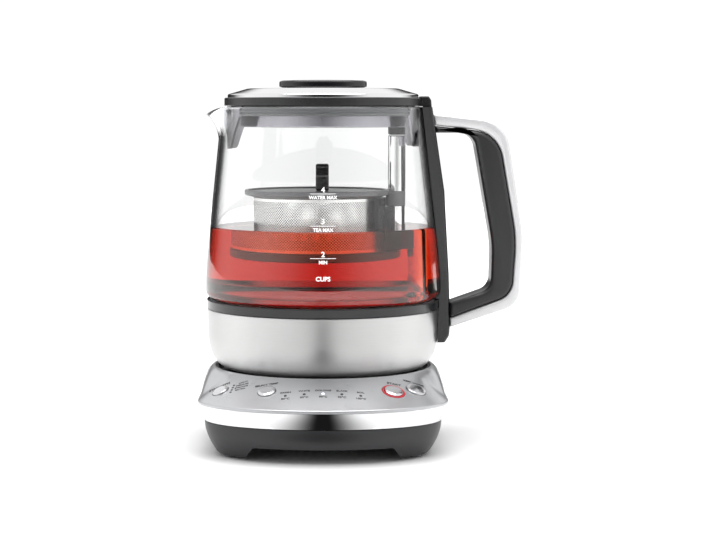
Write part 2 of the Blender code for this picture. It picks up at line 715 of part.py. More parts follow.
def make_tub(finish, frame):
    """Bellied lower shell with an upstand behind the chrome band and an arch below."""
    heights = [TUB_FLOOR_Z + (TUB_TOP_Z - TUB_FLOOR_Z) * step / TUB_LEVELS
               for step in range(TUB_LEVELS + 1)]
    loops = [plan_loop(tub_inset(height), height) for height in heights]
    loops.append(plan_loop(TUB_UPSTAND_INSET, TUB_TOP_Z))
    loops.append(plan_loop(TUB_UPSTAND_INSET, BAND_TOP_Z))
    inner = TUB_UPSTAND_INSET + TUB_WALL
    loops.append(plan_loop(inner, BAND_TOP_Z))
    loops.append(plan_loop(inner, TUB_TOP_Z))
    floor = ARCH_HEIGHT + TUB_WALL
    loops.append(plan_loop(tub_inset(floor) + TUB_WALL, floor))
    tub = skin("base_tub", loops)
    front, back = -BASE_FRONT - OVERRUN, BASE_BACK + OVERRUN
    slope = (ARCH_FOOT_HALF_WIDTH - ARCH_TOP_HALF_WIDTH) / ARCH_HEIGHT
    foot = ARCH_FOOT_HALF_WIDTH + slope * OVERRUN
    arch = [(-foot, -OVERRUN), (foot, -OVERRUN),
            (ARCH_TOP_HALF_WIDTH, ARCH_HEIGHT), (-ARCH_TOP_HALF_WIDTH, ARCH_HEIGHT)]
    cut(tub, prism("arch_tool", arch, front, back))
    outlet = turned("outlet_tool", [(0.0, -OUTLET_LENGTH), (OUTLET_RADIUS + GAP, -OUTLET_LENGTH),
                                    (OUTLET_RADIUS + GAP, OUTLET_LENGTH + OVERRUN),
                                    (0.0, OUTLET_LENGTH + OVERRUN)], BUTTON_SEGMENTS)
    outlet.data.transform(Matrix.Translation((0.0, outlet_y(), OUTLET_Z))
                          @ Matrix.Rotation(-math.pi / 2, 4, "X"))
    cut(tub, outlet)
    spread = POWER_BOARD_LENGTH * POWER_BOARD_POST_SHARE
    posts = [(x, POWER_BOARD_Y, power_board_z()) for x in (-spread, spread)]
    posts += [polar(math.radians(angle), SEAT_RADIUS + DECK_WALL, BOARD_Z)
              for angle in BOARD_POST_ANGLES]
    for x, y, height in posts:
        post = turned("post_tool", [(0.0, floor - TUB_WALL / 2),
                                    (BOARD_POST_RADIUS, floor - TUB_WALL / 2),
                                    (BOARD_POST_RADIUS, height - GAP),
                                    (0.0, height - GAP)], BUTTON_SEGMENTS // 2)
        post.data.transform(Matrix.Translation((x, y, 0.0)))
        join(tub, post)
    return dress(tub, finish, frame)


def outlet_y():
    """Rear face of the tub at the cord outlet."""
    return BASE_BACK - tub_inset(OUTLET_Z)


def power_board_z():
    """Underside of the power board."""
    return ARCH_HEIGHT + TUB_WALL + BOARD_POST_RADIUS


def make_band(finish, frame):
    """Bright band between the tub and the deck."""
    loops = [plan_loop(TUB_TOP_INSET, BAND_BOTTOM_Z),
             plan_loop(BAND_TOP_INSET, BAND_TOP_Z),
             plan_loop(BAND_TOP_INSET + BAND_THICKNESS, BAND_TOP_Z),
             plan_loop(TUB_TOP_INSET + BAND_THICKNESS, BAND_BOTTOM_Z)]
    return dress(skin("chrome_band", loops, ring=True), finish, frame)


def make_deck(finish, frame):
    """Sloped top of the base with its rim, seat flange and the holes of the controls."""
    loops = [plan_loop(0.0, DECK_BOTTOM_Z), plan_loop(0.0, DECK_RIM_Z - DECK_RIM_ROUNDING)]
    for share in DECK_RING_SHARES:
        loops.append([deck_point(angle, share) for angle in base_angles()])
    flange_z = DECK_LIP_Z - DECK_FLANGE_DEPTH
    for radius in (SEAT_RADIUS, SEAT_RADIUS + DECK_WALL):
        loops.append([polar(angle, radius, flange_z) for angle in base_angles()])
    for share in reversed(DECK_INNER_SHARES):
        loops.append([deck_point(angle, share, DECK_WALL) for angle in base_angles()])
    loops.append(plan_loop(DECK_WALL + DECK_RIM_ROUNDING, DECK_BOTTOM_Z))
    deck = skin("top_deck", loops, ring=True)
    for stem, angle, share, radius in buttons():
        hole = radius + GAP
        if stem == "start":
            hole += RING_LIGHT_WIDTH + GAP
        cut(deck, pin("hole_tool", deck_frame(angle, share), hole, OVERRUN, -OVERRUN))
    for place in led_places():
        cut(deck, slot("window_tool", place, LED_WINDOW_LENGTH + GAP, LED_WINDOW_WIDTH + GAP,
                       OVERRUN, -OVERRUN))
    for place in strength_led_places():
        cut(deck, pin("window_tool", place, STRENGTH_LED_RADIUS + GAP / 2, OVERRUN, -OVERRUN,
                      BUTTON_SEGMENTS // 2))
    return dress(deck, finish, frame)


def make_seat(dish_finish, hub_finish, frame):
    """Dark round dish that the jug stands in, and the round connector in its middle."""
    outer = SEAT_RADIUS - GAP
    top = DECK_LIP_Z - DISH_RIM_DROP
    hole = HUB_RADIUS + GAP
    dish = turned("seat_dish", [
        (outer, top), (outer, DISH_FLOOR_Z - DISH_WALL), (hole, DISH_FLOOR_Z - DISH_WALL),
        (hole, DISH_FLOOR_Z), (outer - 2 * DISH_WALL, DISH_FLOOR_Z),
        (outer - DISH_WALL, DISH_FLOOR_Z + DISH_WALL), (outer - DISH_WALL, top)], BASE_SIDES)
    dress(dish, dish_finish, frame)
    groove_in = HUB_GROOVE_RADIUS - HUB_GROOVE_WIDTH / 2
    groove_out = HUB_GROOVE_RADIUS + HUB_GROOVE_WIDTH / 2
    bottom = DISH_FLOOR_Z - DISH_WALL - GAP
    flange = HUB_RADIUS + DISH_WALL
    hub = turned("connector_hub", [
        (SOCKET_PIN_RADIUS + GAP, HUB_TOP_Z), (groove_in, HUB_TOP_Z),
        (groove_in, HUB_TOP_Z - HUB_GROOVE_DEPTH), (groove_out, HUB_TOP_Z - HUB_GROOVE_DEPTH),
        (groove_out, HUB_TOP_Z), (HUB_RADIUS - DISH_WALL, HUB_TOP_Z),
        (HUB_RADIUS, HUB_TOP_Z - DISH_WALL), (HUB_RADIUS, bottom),
        (flange, bottom), (flange, bottom - DISH_WALL),
        (SOCKET_PIN_RADIUS + GAP, bottom - DISH_WALL)], ROUND_SEGMENTS)
    dress(hub, hub_finish, frame)


def capsule(length, width, steps=6):
    """Outline of a flat bar with round ends, long in y."""
    centre = (length - width) / 2
    return (elliptic_arc(0.0, centre, width / 2, width / 2, 0, 180, steps)
            + elliptic_arc(0.0, -centre, width / 2, width / 2, 180, 360, steps))


def make_feet(finish, frame):
    """Four rubber pads under the corners of the tub."""
    index = 0
    for y in (PAD_FRONT_Y, PAD_REAR_Y):
        for x in (-PAD_X, PAD_X):
            index += 1
            pad = prism(f"rubber_foot_{index}", capsule(PAD_LENGTH, PAD_WIDTH), 0.0, PAD_HEIGHT,
                        "Z")
            dress(pad, finish, frame, (x, y, 0.0))


def make_outlet(finish, frame):
    """Round bush at the back where a cord would enter."""
    lip = OUTLET_RADIUS + OUTLET_LIP
    bore = OUTLET_RADIUS / 2
    bush = turned("cord_outlet", [
        (bore, -OUTLET_LENGTH / 2), (OUTLET_RADIUS, -OUTLET_LENGTH / 2), (OUTLET_RADIUS, GAP),
        (lip, GAP), (lip, GAP + OUTLET_LIP), (bore, GAP + OUTLET_LIP)], BUTTON_SEGMENTS)
    place = Vector((0.0, outlet_y() + OUTLET_LIP, OUTLET_Z))
    dress(bush, finish, frame, place, (-math.pi / 2, 0.0, 0.0))


def make_buttons(cap_finish, ring_finish, switch_finish, frame):
    """Four spring-loaded push buttons, each on its own tilted axis, over tact switches."""
    for stem, angle, share, radius in buttons():
        point, rotation = deck_frame(angle, share)
        foot = -BUTTON_DEPTH
        cap = turned(f"{stem}_button", [
            (0.0, BUTTON_PROUD + BUTTON_CROWN),
            (radius / 2, BUTTON_PROUD + BUTTON_CROWN * BUTTON_CROWN_SHARE),
            (radius - BUTTON_CROWN, BUTTON_PROUD), (radius, BUTTON_PROUD - BUTTON_CROWN),
            (radius, -DECK_WALL), (BUTTON_STEM_RADIUS, -DECK_WALL - BUTTON_COLLAR),
            (BUTTON_STEM_RADIUS, foot), (0.0, foot)], BUTTON_SEGMENTS)
        dress(cap, cap_finish, frame, point, rotation)
        top = foot - BUTTON_TRAVEL - GAP / 2
        bottom = board_depth(point, rotation, SWITCH_SIZE / 2)
        switch = box(f"{stem}_switch", (0.0, 0.0, (top + bottom) / 2),
                     (SWITCH_SIZE, SWITCH_SIZE, top - bottom))
        dress(switch, switch_finish, frame, point, rotation)
        if stem == "start":
            inner, outer = radius + GAP, radius + GAP + RING_LIGHT_WIDTH
            ring = turned("start_ring_light", [(outer, 0.0), (outer, -DECK_WALL),
                                               (inner, -DECK_WALL), (inner, 0.0)],
                          BUTTON_SEGMENTS)
            dress(ring, ring_finish, frame, point, rotation)


def board_depth(point, rotation, half_size):
    """Where a block along a deck frame's normal ends, a gap above the control board."""
    normal = rotation.to_matrix() @ Vector((0.0, 0.0, 1.0))
    slope = math.tan(math.acos(normal.z))
    reach = (point.z - BOARD_Z - BOARD_THICKNESS - GAP) / normal.z
    return half_size * math.sqrt(2) * slope - reach


def make_guide(name, middle, size, places, tooth, finish, frame):
    """Clear block from the control board to the deck, with a tooth in every light window."""
    point, rotation = middle
    back = -DECK_WALL - GUIDE_BACK
    guide = slot(name, middle, size[0], size[1], back, board_depth(point, rotation, size[1] / 2))
    for place in places:
        join(guide, tooth(place, back - GUIDE_BACK))
    dress(guide, finish, frame)


def make_light_guides(finish, frame):
    """The light guides of the temperature row and of the strength column."""
    places = led_places()
    length = LED_PITCH * (LED_COUNT - 1) + 2 * LED_WINDOW_LENGTH
    make_guide("temperature_light_guide", places[LED_COUNT // 2],
               (length, LED_WINDOW_WIDTH + GUIDE_BACK), places,
               lambda place, bottom: slot("tooth_tool", place, LED_WINDOW_LENGTH - GAP,
                                          LED_WINDOW_WIDTH - GAP, 0.0, bottom), finish, frame)
    places = strength_led_places()
    point = sum((place[0] for place in places), Vector()) / len(places)
    length = STRENGTH_LED_PITCH * (STRENGTH_LED_COUNT - 1) + 2 * GUIDE_BACK
    make_guide("strength_light_guide", (point, places[0][1]), (GUIDE_BACK, length), places,
               lambda place, bottom: pin("tooth_tool", place, STRENGTH_LED_RADIUS - GAP / 2, 0.0,
                                         bottom, BUTTON_SEGMENTS // 2), finish, frame)


def make_boards(finish, frame):
    """Crescent control board under the front of the deck and power board at the back."""
    span = math.radians(BOARD_END_ANGLE - BOARD_START_ANGLE)
    angles = [math.radians(BOARD_START_ANGLE) + span * step / BOARD_STEPS
              for step in range(BOARD_STEPS + 1)]
    loops = []
    for height in (BOARD_Z, BOARD_Z + BOARD_THICKNESS):
        outer = [polar(a, plan_radius(a, BOARD_INSET), height) for a in angles]
        inner = [polar(a, BOARD_INNER_RADIUS, height) for a in angles]
        loops.append(outer + inner[::-1])
    dress(skin("control_board", loops), finish, frame)
    bottom = power_board_z()
    power = box("power_board", (0.0, POWER_BOARD_Y, bottom + BOARD_THICKNESS / 2),
                (POWER_BOARD_LENGTH, POWER_BOARD_WIDTH, BOARD_THICKNESS))
    dress(power, finish, frame)


def shell_profile():
    """Outer side of the steel shell, from its top down to its rolled-in lip."""
    curve_centre = SHELL_WAIST_RADIUS - SHELL_CURVE_WIDTH
    curve_height = SHELL_WAIST_Z - SHELL_LIP_Z
    stop = math.degrees(math.acos((SHELL_LIP_RADIUS - curve_centre) / SHELL_CURVE_WIDTH))
    curve = elliptic_arc(curve_centre, SHELL_WAIST_Z, SHELL_CURVE_WIDTH, curve_height,
                         0, -stop, SHELL_STEPS)
    return [(SHELL_RADIUS, SHELL_TOP_Z)] + curve


def make_jug_base(finishes, frame):
    """Steel shell, collar, gasket, heating plate, element and the dark underside."""
    outer = shell_profile()
    inner = [(radius - SHELL_WALL, height) for radius, height in outer[:-2]]
    last_radius, last_height = outer[-1]
    inner.append((last_radius, last_height + SHELL_WALL))
    shell = turned("steel_shell", outer + inner[::-1])
    dress(shell, finishes["steel"], frame)

    collar_top = COLLAR_Z + COLLAR_HEIGHT
    inside = COLLAR_RADIUS - COLLAR_WALL
    shelf = COLLAR_RADIUS - COLLAR_SHELF_WIDTH
    collar = turned("collar_ring", [
        (inside, collar_top), (COLLAR_RADIUS, collar_top), (COLLAR_RADIUS, COLLAR_Z),
        (shelf, COLLAR_Z), (shelf, COLLAR_Z + COLLAR_WALL), (inside, COLLAR_Z + COLLAR_WALL)])
    dress(collar, finishes["grey"], frame)

    seal_out = inside - GAP
    seal_in = GLASS_NECK_RADIUS + GAP
    seal = turned("jug_seal", [
        (seal_in, SEAL_Z + SEAL_HEIGHT), (seal_out, SEAL_Z + SEAL_HEIGHT), (seal_out, SEAL_Z),
        (shelf, SEAL_Z), (shelf, SEAL_Z + SEAL_BASE), (seal_in, SEAL_Z + SEAL_BASE)])
    dress(seal, finishes["rubber"], frame)

    rim_in = PLATE_RADIUS - PLATE_THICKNESS
    rim_z = PLATE_Z - PLATE_RIM_DEPTH
    plate = turned("heating_plate", [
        (0.0, PLATE_Z), (PLATE_RADIUS, PLATE_Z), (PLATE_RADIUS, rim_z), (rim_in, rim_z),
        (rim_in, PLATE_Z - PLATE_THICKNESS), (0.0, PLATE_Z - PLATE_THICKNESS)])
    dress(plate, finishes["steel"], frame)

    top = PLATE_Z - PLATE_THICKNESS - GAP
    diffuser = turned("heat_diffuser", [
        (0.0, top), (DIFFUSER_RADIUS, top), (DIFFUSER_RADIUS, top - DIFFUSER_THICKNESS),
        (0.0, top - DIFFUSER_THICKNESS)])
    dress(diffuser, finishes["aluminium"], frame)
    make_element(finishes["dark_steel"], frame, top - DIFFUSER_THICKNESS - GAP)
    make_underside(finishes["black"], finishes["brass"], frame)


def make_element(finish, frame, top):
    """Horseshoe heating tube under the diffuser."""
    opening = math.radians(ELEMENT_OPENING_ANGLE)
    path = bpy.data.curves.new("heating_element", "CURVE")
    path.dimensions = "3D"
    path.bevel_depth = ELEMENT_TUBE_RADIUS
    path.bevel_resolution = 1
    path.use_fill_caps = True
    line = path.splines.new("POLY")
    line.points.add(ROUND_SEGMENTS)
    for index, point in enumerate(line.points):
        angle = opening / 2 + (math.tau - opening) * index / ROUND_SEGMENTS
        point.co = (*polar(angle, ELEMENT_RADIUS, top - ELEMENT_TUBE_RADIUS), 1.0)
    made = bpy.data.objects.new("heating_element", path)
    bpy.context.scene.collection.objects.link(made)
    dress(made, finish, frame)


def make_underside(finish, metal, frame):
    """Dark base of the jug with its standing ring and the socket over the hub."""
    outer = SHELL_LIP_RADIUS - GAP
    wall_top = UNDERSIDE_Z + UNDERSIDE_WALL_HEIGHT
    floor_top = UNDERSIDE_Z + UNDERSIDE_THICKNESS
    foot_z = DISH_FLOOR_Z + GAP
    foot_out = UNDERSIDE_FOOT_RADIUS + UNDERSIDE_FOOT_WIDTH / 2
    foot_in = UNDERSIDE_FOOT_RADIUS - UNDERSIDE_FOOT_WIDTH / 2
    bore = HUB_RADIUS + SOCKET_CLEARANCE
    ledge = bore + SOCKET_WALL
    underside = turned("jug_underside", [
        (outer - UNDERSIDE_THICKNESS, wall_top), (outer, wall_top), (outer, UNDERSIDE_Z),
        (foot_out, UNDERSIDE_Z), (foot_out, foot_z), (foot_in, foot_z), (foot_in, UNDERSIDE_Z),
        (ledge + GAP, UNDERSIDE_Z), (ledge + GAP, floor_top),
        (outer - UNDERSIDE_THICKNESS, floor_top)])
    dress(underside, finish, frame)
    roof = HUB_TOP_Z + SOCKET_CLEARANCE
    socket = turned("jug_connector", [
        (0.0, roof + SOCKET_ROOF), (ledge, roof + SOCKET_ROOF), (ledge, UNDERSIDE_Z),
        (bore, UNDERSIDE_Z), (bore, roof), (0.0, roof)], ROUND_SEGMENTS)
    dress(socket, finish, frame)
    contact = turned("contact_pin", [
        (0.0, roof - GAP), (SOCKET_PIN_RADIUS - GAP, roof - GAP),
        (SOCKET_PIN_RADIUS - GAP, DISH_FLOOR_Z), (0.0, DISH_FLOOR_Z - DISH_WALL)],
        BUTTON_SEGMENTS // 2)
    dress(contact, metal, frame)


def glass_radius(height):
    """Outer radius of the glass at a height: straight foot, rounded shoulder, straight cone."""
    over = height - GLASS_SHOULDER_Z
    if over <= -GLASS_SHOULDER_REACH:
        return GLASS_FOOT_RADIUS
    if over >= GLASS_SHOULDER_REACH:
        return GLASS_FOOT_RADIUS - GLASS_SLOPE * over
    return (GLASS_FOOT_RADIUS
            - GLASS_SLOPE * (over + GLASS_SHOULDER_REACH) ** 2 / (4 * GLASS_SHOULDER_REACH))


def pour(angle, radius, height):
    """A point of the glass, pushed out and down where the spout is, at -X."""
    away = abs(math.degrees(math.atan2(math.sin(angle - math.pi), math.cos(angle - math.pi))))
    radius *= chord_share(angle)
    lift = (height - (GLASS_RIM_Z - SPOUT_HEIGHT)) / SPOUT_HEIGHT
    if away >= SPOUT_HALF_ANGLE or lift <= 0.0:
        return polar(angle, radius, height)
    share = (0.5 + 0.5 * math.cos(math.pi * away / SPOUT_HALF_ANGLE)) * lift ** SPOUT_LIFT_POWER
    return polar(angle, radius + SPOUT_REACH * share, height - SPOUT_DIP * share)


def glass_angles():
    """The polar angles of every loop of the glass, closer together across the spout."""
    pitch = math.tau / JUG_SIDES
    reach = math.radians(SPOUT_HALF_ANGLE) + pitch / 2
    angles = []
    for side in range(JUG_SIDES):
        near = abs(pitch * side + pitch / 2 - math.pi) < reach
        parts = SPOUT_COLUMN_PARTS if near else 1
        angles += [pitch * (side + part / parts) for part in range(parts)]
    return angles


def chord_share(angle):
    """How far in the jug's facets lie at a polar angle, as a share of the radius."""
    pitch = math.tau / JUG_SIDES
    return math.cos(pitch / 2) / math.cos(angle % pitch - pitch / 2)


def make_glass(finish, frame):
    """Glass jug: tapered wall, rounded foot, neck for the gasket and a drawn-out spout."""
    spout_z = GLASS_RIM_Z - SPOUT_HEIGHT
    rim = GLASS_WALL / 2
    heights = [spout_z + (SPOUT_HEIGHT - rim) * share for share in SPOUT_RING_SHARES]
    shoulder = [GLASS_SHOULDER_Z + GLASS_SHOULDER_REACH * share for share in (1.0, 0.0, -1.0)]
    side = heights[::-1] + [spout_z] + shoulder
    outer = [(glass_radius(height), height) for height in side]
    crown = elliptic_arc(GLASS_RIM_RADIUS - rim, GLASS_RIM_Z - rim, rim, rim, 180, 0,
                         GLASS_ARC_STEPS)[1:-1]
    corner = elliptic_arc(GLASS_NECK_RADIUS, GLASS_BOTTOM_Z + GLASS_CORNER_HEIGHT,
                          GLASS_CORNER_WIDTH, GLASS_CORNER_HEIGHT, 0, -90, GLASS_ARC_STEPS)[:-1]
    neck = [(GLASS_NECK_RADIUS, GLASS_BOTTOM_Z), (GLASS_NECK_RADIUS, GLASS_NECK_Z),
            (GLASS_NECK_RADIUS - GLASS_WALL, GLASS_NECK_Z)]
    fillet = elliptic_arc(GLASS_NECK_RADIUS - GLASS_WALL, GLASS_BOTTOM_Z + GLASS_CORNER_HEIGHT,
                          GLASS_CORNER_WIDTH, GLASS_CORNER_HEIGHT - GLASS_WALL, -90, 0,
                          GLASS_ARC_STEPS)
    inner = [(glass_radius(height) - GLASS_WALL, height) for height in side[::-1]]
    profile = crown + outer + corner + neck + fillet + inner[1:]
    angles = glass_angles()
    loops = [[pour(angle, radius, height) for angle in angles] for radius, height in profile]
    dress(skin("glass_jug", loops, ring=True), finish, frame)


def make_post(finishes, frame):
    """Bright post from the heating plate, with its dark collar and bright cap."""
    foot = PLATE_Z + GAP
    post = turned("lift_post", [
        (0.0, POST_TOP_Z), (POST_RADIUS, POST_TOP_Z), (POST_RADIUS, foot + POST_FOOT_HEIGHT),
        (POST_FOOT_RADIUS, foot + POST_FOOT_HEIGHT / 2), (POST_FOOT_RADIUS, foot), (0.0, foot)],
        ROUND_SEGMENTS)
    dress(post, finishes["steel"], frame, (POST_X, 0.0, 0.0))
    collar_z = POST_TOP_Z + GAP
    collar_top = collar_z + POST_COLLAR_HEIGHT
    collar = turned("post_collar", [
        (0.0, collar_top), (POST_RADIUS, collar_top), (POST_RADIUS, collar_z), (0.0, collar_z)],
        ROUND_SEGMENTS)
    dress(collar, finishes["black"], frame, (POST_X, 0.0, 0.0))
    cap_z = collar_top + GAP
    cap_top = cap_z + POST_CAP_HEIGHT
    cap = turned("post_cap", [
        (0.0, cap_top), (POST_RADIUS - BUTTON_CROWN, cap_top),
        (POST_RADIUS, cap_top - BUTTON_CROWN), (POST_RADIUS, cap_z), (0.0, cap_z)],
        ROUND_SEGMENTS)
    dress(cap, finishes["steel"], frame, (POST_X, 0.0, 0.0))


def perforated(name, rows, finish_rows, rib, thickness):
    """Thin steel skin: diamond cells between rows of points, pierced, with plain end bands."""
    edit = bmesh.new()
    grid = [[edit.verts.new(point) for point in row] for row in rows]
    count = len(grid[0])
    cells = []
    for index in range(1, len(grid) - 1):
        shift = index % 2
        for i in range(count):
            left = grid[index][i]
            right = grid[index][(i + 1) % count]
            below = grid[index - 1][(i + shift) % count]
            above = grid[index + 1][(i + shift) % count]
            cells.append(edit.faces.new((left, below, right, above)))
    for index, inner in ((0, 1), (-1, -2)):
        shift = (len(grid) - 2 if index else 1) % 2
        for i in range(count):
            edit.faces.new((grid[index][i], grid[index][(i + 1) % count],
                            grid[inner][(i + 1 - shift) % count]))
    for row, end in zip(finish_rows, (0, -1)):
        band = [edit.verts.new(point) for point in row]
        for i in range(count):
            j = (i + 1) % count
            edit.faces.new((grid[end][i], grid[end][j], band[j], band[i]))
    bmesh.ops.recalc_face_normals(edit, faces=edit.faces)
    bmesh.ops.inset_individual(edit, faces=cells, thickness=rib)
    bmesh.ops.delete(edit, geom=cells, context="FACES")
    made = finish_mesh(name, edit)
    centre = Vector((BASKET_X, 0.0, BASKET_FLOOR_Z))
    if sum(face.normal.dot(face.center - centre) for face in made.data.polygons) < 0:
        made.data.flip_normals()
    wall = made.modifiers.new("Wall", "SOLIDIFY")
    wall.thickness = thickness
    wall.offset = -1.0
    return made


def ring_points(radius, height, count, shift=0.0):
    """Evenly spaced points on a circle round the basket's axis."""
    return [(BASKET_X + radius * math.cos(math.tau * (i + shift) / count),
             radius * math.sin(math.tau * (i + shift) / count), height) for i in range(count)]


def make_strainer(finish, frame):
    """Basket wall with staggered diamond holes."""
    top = BASKET_RING_TOP_Z - BASKET_RING_HEIGHT - GAP
    bottom = BASKET_FLOOR_Z
    low = bottom + BASKET_PERFORATION_MARGIN
    high = top - BASKET_PERFORATION_MARGIN
    levels = PERFORATION_ROWS + 1
    rows = [ring_points(BASKET_RADIUS, low + (high - low) * level / levels, PERFORATION_COLUMNS,
                        STAGGER_SHARE * (level % 2)) for level in range(levels + 1)]
    ends = [ring_points(BASKET_RADIUS, bottom, PERFORATION_COLUMNS),
            ring_points(BASKET_RADIUS, top, PERFORATION_COLUMNS, STAGGER_SHARE * (levels % 2))]
    strainer = perforated("basket_strainer", rows, ends, PERFORATION_RIB, BASKET_WALL)
    dress(strainer, finish, frame, (-POST_X, 0.0, 0.0))


def make_basket_floor(finish, foot_finish, frame):
    """Pierced floor of the basket in a moulded foot ring with nubs."""
    rim = BASKET_RADIUS - BASKET_WALL - GAP
    widest = rim - FLOOR_RIM_WIDTH
    count = FLOOR_COLUMNS
    levels = FLOOR_RINGS + 1
    height = BASKET_FLOOR_Z + FLOOR_THICKNESS
    rows = [ring_points(FLOOR_EYE_RADIUS + (widest - FLOOR_EYE_RADIUS) * level / levels, height,
                        count, STAGGER_SHARE * (level % 2)) for level in range(levels + 1)]
    ends = [ring_points(FLOOR_EYE_RADIUS / 2, height, count),
            ring_points(rim, height, count, STAGGER_SHARE * (levels % 2))]
    floor = perforated("basket_floor", rows, ends, PERFORATION_RIB, FLOOR_THICKNESS)
    dress(floor, finish, frame, (-POST_X, 0.0, 0.0))
    top = BASKET_FLOOR_Z - GAP
    outer = BASKET_RADIUS + BASKET_FOOT_INSET
    foot = top - BASKET_FOOT_HEIGHT
    ring = turned("basket_foot_ring", [
        (outer - BASKET_FOOT_INSET, top), (outer, top - BASKET_FOOT_INSET), (outer, foot),
        (rim - FLOOR_RIM_WIDTH, foot), (rim - FLOOR_RIM_WIDTH, top)], BASKET_SIDES, BASKET_X)
    middle = (outer + rim - FLOOR_RIM_WIDTH) / 2
    for index in range(NUB_COUNT):
        x, y, _ = polar(math.tau * (index + 0.5) / NUB_COUNT, middle, 0.0)
        nub = turned("nub_tool", [
            (0.0, top - BASKET_FOOT_HEIGHT / 2), (NUB_RADIUS, top - BASKET_FOOT_HEIGHT / 2),
            (NUB_RADIUS, foot - NUB_HEIGHT / 2), (NUB_RADIUS / 2, foot - NUB_HEIGHT),
            (0.0, foot - NUB_HEIGHT)], BUTTON_SEGMENTS // 2)
        nub.data.transform(Matrix.Translation((BASKET_X + x, y, 0.0)))
        join(ring, nub)
    dress(ring, foot_finish, frame, (-POST_X, 0.0, 0.0))


def make_carrier(finish, dark_finish, frame):
    """Ring of the basket with its arm and the sleeve that slides on the post."""
    top = BASKET_RING_TOP_Z
    bottom = top - BASKET_RING_HEIGHT
    ledge = top - COVER_RECESS
    seat = BASKET_RADIUS - BASKET_WALL
    ring = turned("basket_ring", [
        (BASKET_RING_RADIUS - COVER_EDGE, top), (BASKET_RING_RADIUS - BUTTON_CROWN, top),
        (BASKET_RING_RADIUS, top - BUTTON_CROWN), (BASKET_RING_RADIUS, ledge),
        (BASKET_RADIUS + GAP, bottom), (seat, bottom), (seat, ledge),
        (BASKET_RING_RADIUS - COVER_EDGE, ledge)], BASKET_SIDES, BASKET_X)
    sleeve_top = top - SLEEVE_TOP_DROP
    sleeve_bottom = sleeve_top - SLEEVE_HEIGHT
    outer = POST_RADIUS + GAP + SLEEVE_WALL
    sleeve = turned("sleeve_tool", [
        (0.0, sleeve_top), (outer, sleeve_top), (outer, sleeve_bottom), (0.0, sleeve_bottom)],
        ROUND_SEGMENTS, POST_X)
    inside = BASKET_RING_RADIUS - COVER_EDGE + GAP
    cut(sleeve, turned("inside_tool", [
        (0.0, top + OVERRUN), (inside, top + OVERRUN), (inside, sleeve_bottom - OVERRUN),
        (0.0, sleeve_bottom - OVERRUN)], BASKET_SIDES, BASKET_X))
    arm_start = BASKET_X + inside + GAP
    arm = box("arm_tool", ((arm_start + POST_X) / 2, 0.0, (sleeve_top + ledge) / 2),
              (POST_X - arm_start, 2 * ARM_HALF_WIDTH, sleeve_top - ledge - 2 * BUTTON_CROWN))
    join(ring, sleeve, arm)
    bore = POST_RADIUS + GAP
    cut(ring, turned("bore_tool", [
        (0.0, top + OVERRUN), (bore, top + OVERRUN), (bore, sleeve_bottom - OVERRUN),
        (0.0, sleeve_bottom - OVERRUN)], ROUND_SEGMENTS, POST_X))
    dress(ring, finish, frame, (-POST_X, 0.0, 0.0))
    inner = BASKET_RADIUS + GAP
    rows = [(height, BRACKET_HALF_ANGLE)
            for height in (BASKET_FLOOR_Z, bottom - GAP)]
    bracket = curved_plate("basket_bracket", inner, inner + BRACKET_THICKNESS, rows,
                           BRACKET_COLUMNS, 0.0, BASKET_X)
    start = BASKET_X + inner + BRACKET_THICKNESS / 2
    end = POST_X - CARRIAGE_AXIS_SETBACK
    low, high = BASKET_FLOOR_Z + BUTTON_CROWN, sleeve_bottom - GAP
    join(bracket, box("carriage_tool", ((start + end) / 2, 0.0, (low + high) / 2),
                      (end - start, 2 * CARRIAGE_HALF_WIDTH, high - low)))
    cut(bracket, turned("bore_tool", [
        (0.0, top + OVERRUN), (bore, top + OVERRUN), (bore, low - OVERRUN),
        (0.0, low - OVERRUN)], ROUND_SEGMENTS, POST_X))
    sleeve_relief = turned("relief_tool", [
        (0.0, top), (outer + GAP, top), (outer + GAP, sleeve_bottom - GAP),
        (0.0, sleeve_bottom - GAP)], ROUND_SEGMENTS, POST_X)
    cut(bracket, sleeve_relief)
    dress(bracket, dark_finish, frame, (-POST_X, 0.0, 0.0))


def make_cover(finish, grip_finish, frame):
    """Cover of the basket with its upright finger grip."""
    ledge = BASKET_RING_TOP_Z - COVER_RECESS + GAP
    radius = BASKET_RING_RADIUS - COVER_EDGE - GAP
    top = ledge + COVER_THICKNESS
    cover = turned("basket_cover", [
        (0.0, top + BUTTON_CROWN), (COVER_CROWN_RADIUS, top + BUTTON_CROWN), (radius, top),
        (radius, ledge), (0.0, ledge)], BASKET_SIDES)
    dress(cover, finish, frame)
    foot = top + BUTTON_CROWN + GAP
    half, waist = COVER_GRIP_LENGTH / 2, COVER_GRIP_LENGTH / 2 * COVER_GRIP_WAIST_SHARE
    crown = foot + COVER_GRIP_HEIGHT
    middle = foot + COVER_GRIP_HEIGHT / 2
    outline = [(-half, foot), (half, foot), (waist, middle), (half, crown), (-half, crown),
               (-waist, middle)]
    grip = prism("cover_grip", rounded_closed(outline, COVER_GRIP_BEVEL),
                 -COVER_GRIP_WIDTH / 2, COVER_GRIP_WIDTH / 2)
    grip.data.transform(Matrix.Rotation(math.pi / 2, 4, "Z"))
    dress(grip, grip_finish, frame, (COVER_GRIP_SHIFT, 0.0, 0.0))


def rounded_closed(corners, rounding):
    """A closed outline with every corner rounded alike."""
    first, last = Vector(corners[0]), Vector(corners[-1])
    middle = tuple((first + last) / 2)
    path = [(*middle, 0.0)] + [(x, y, rounding) for x, y in corners] + [(*middle, 0.0)]
    return rounded_path(path)[:-1]


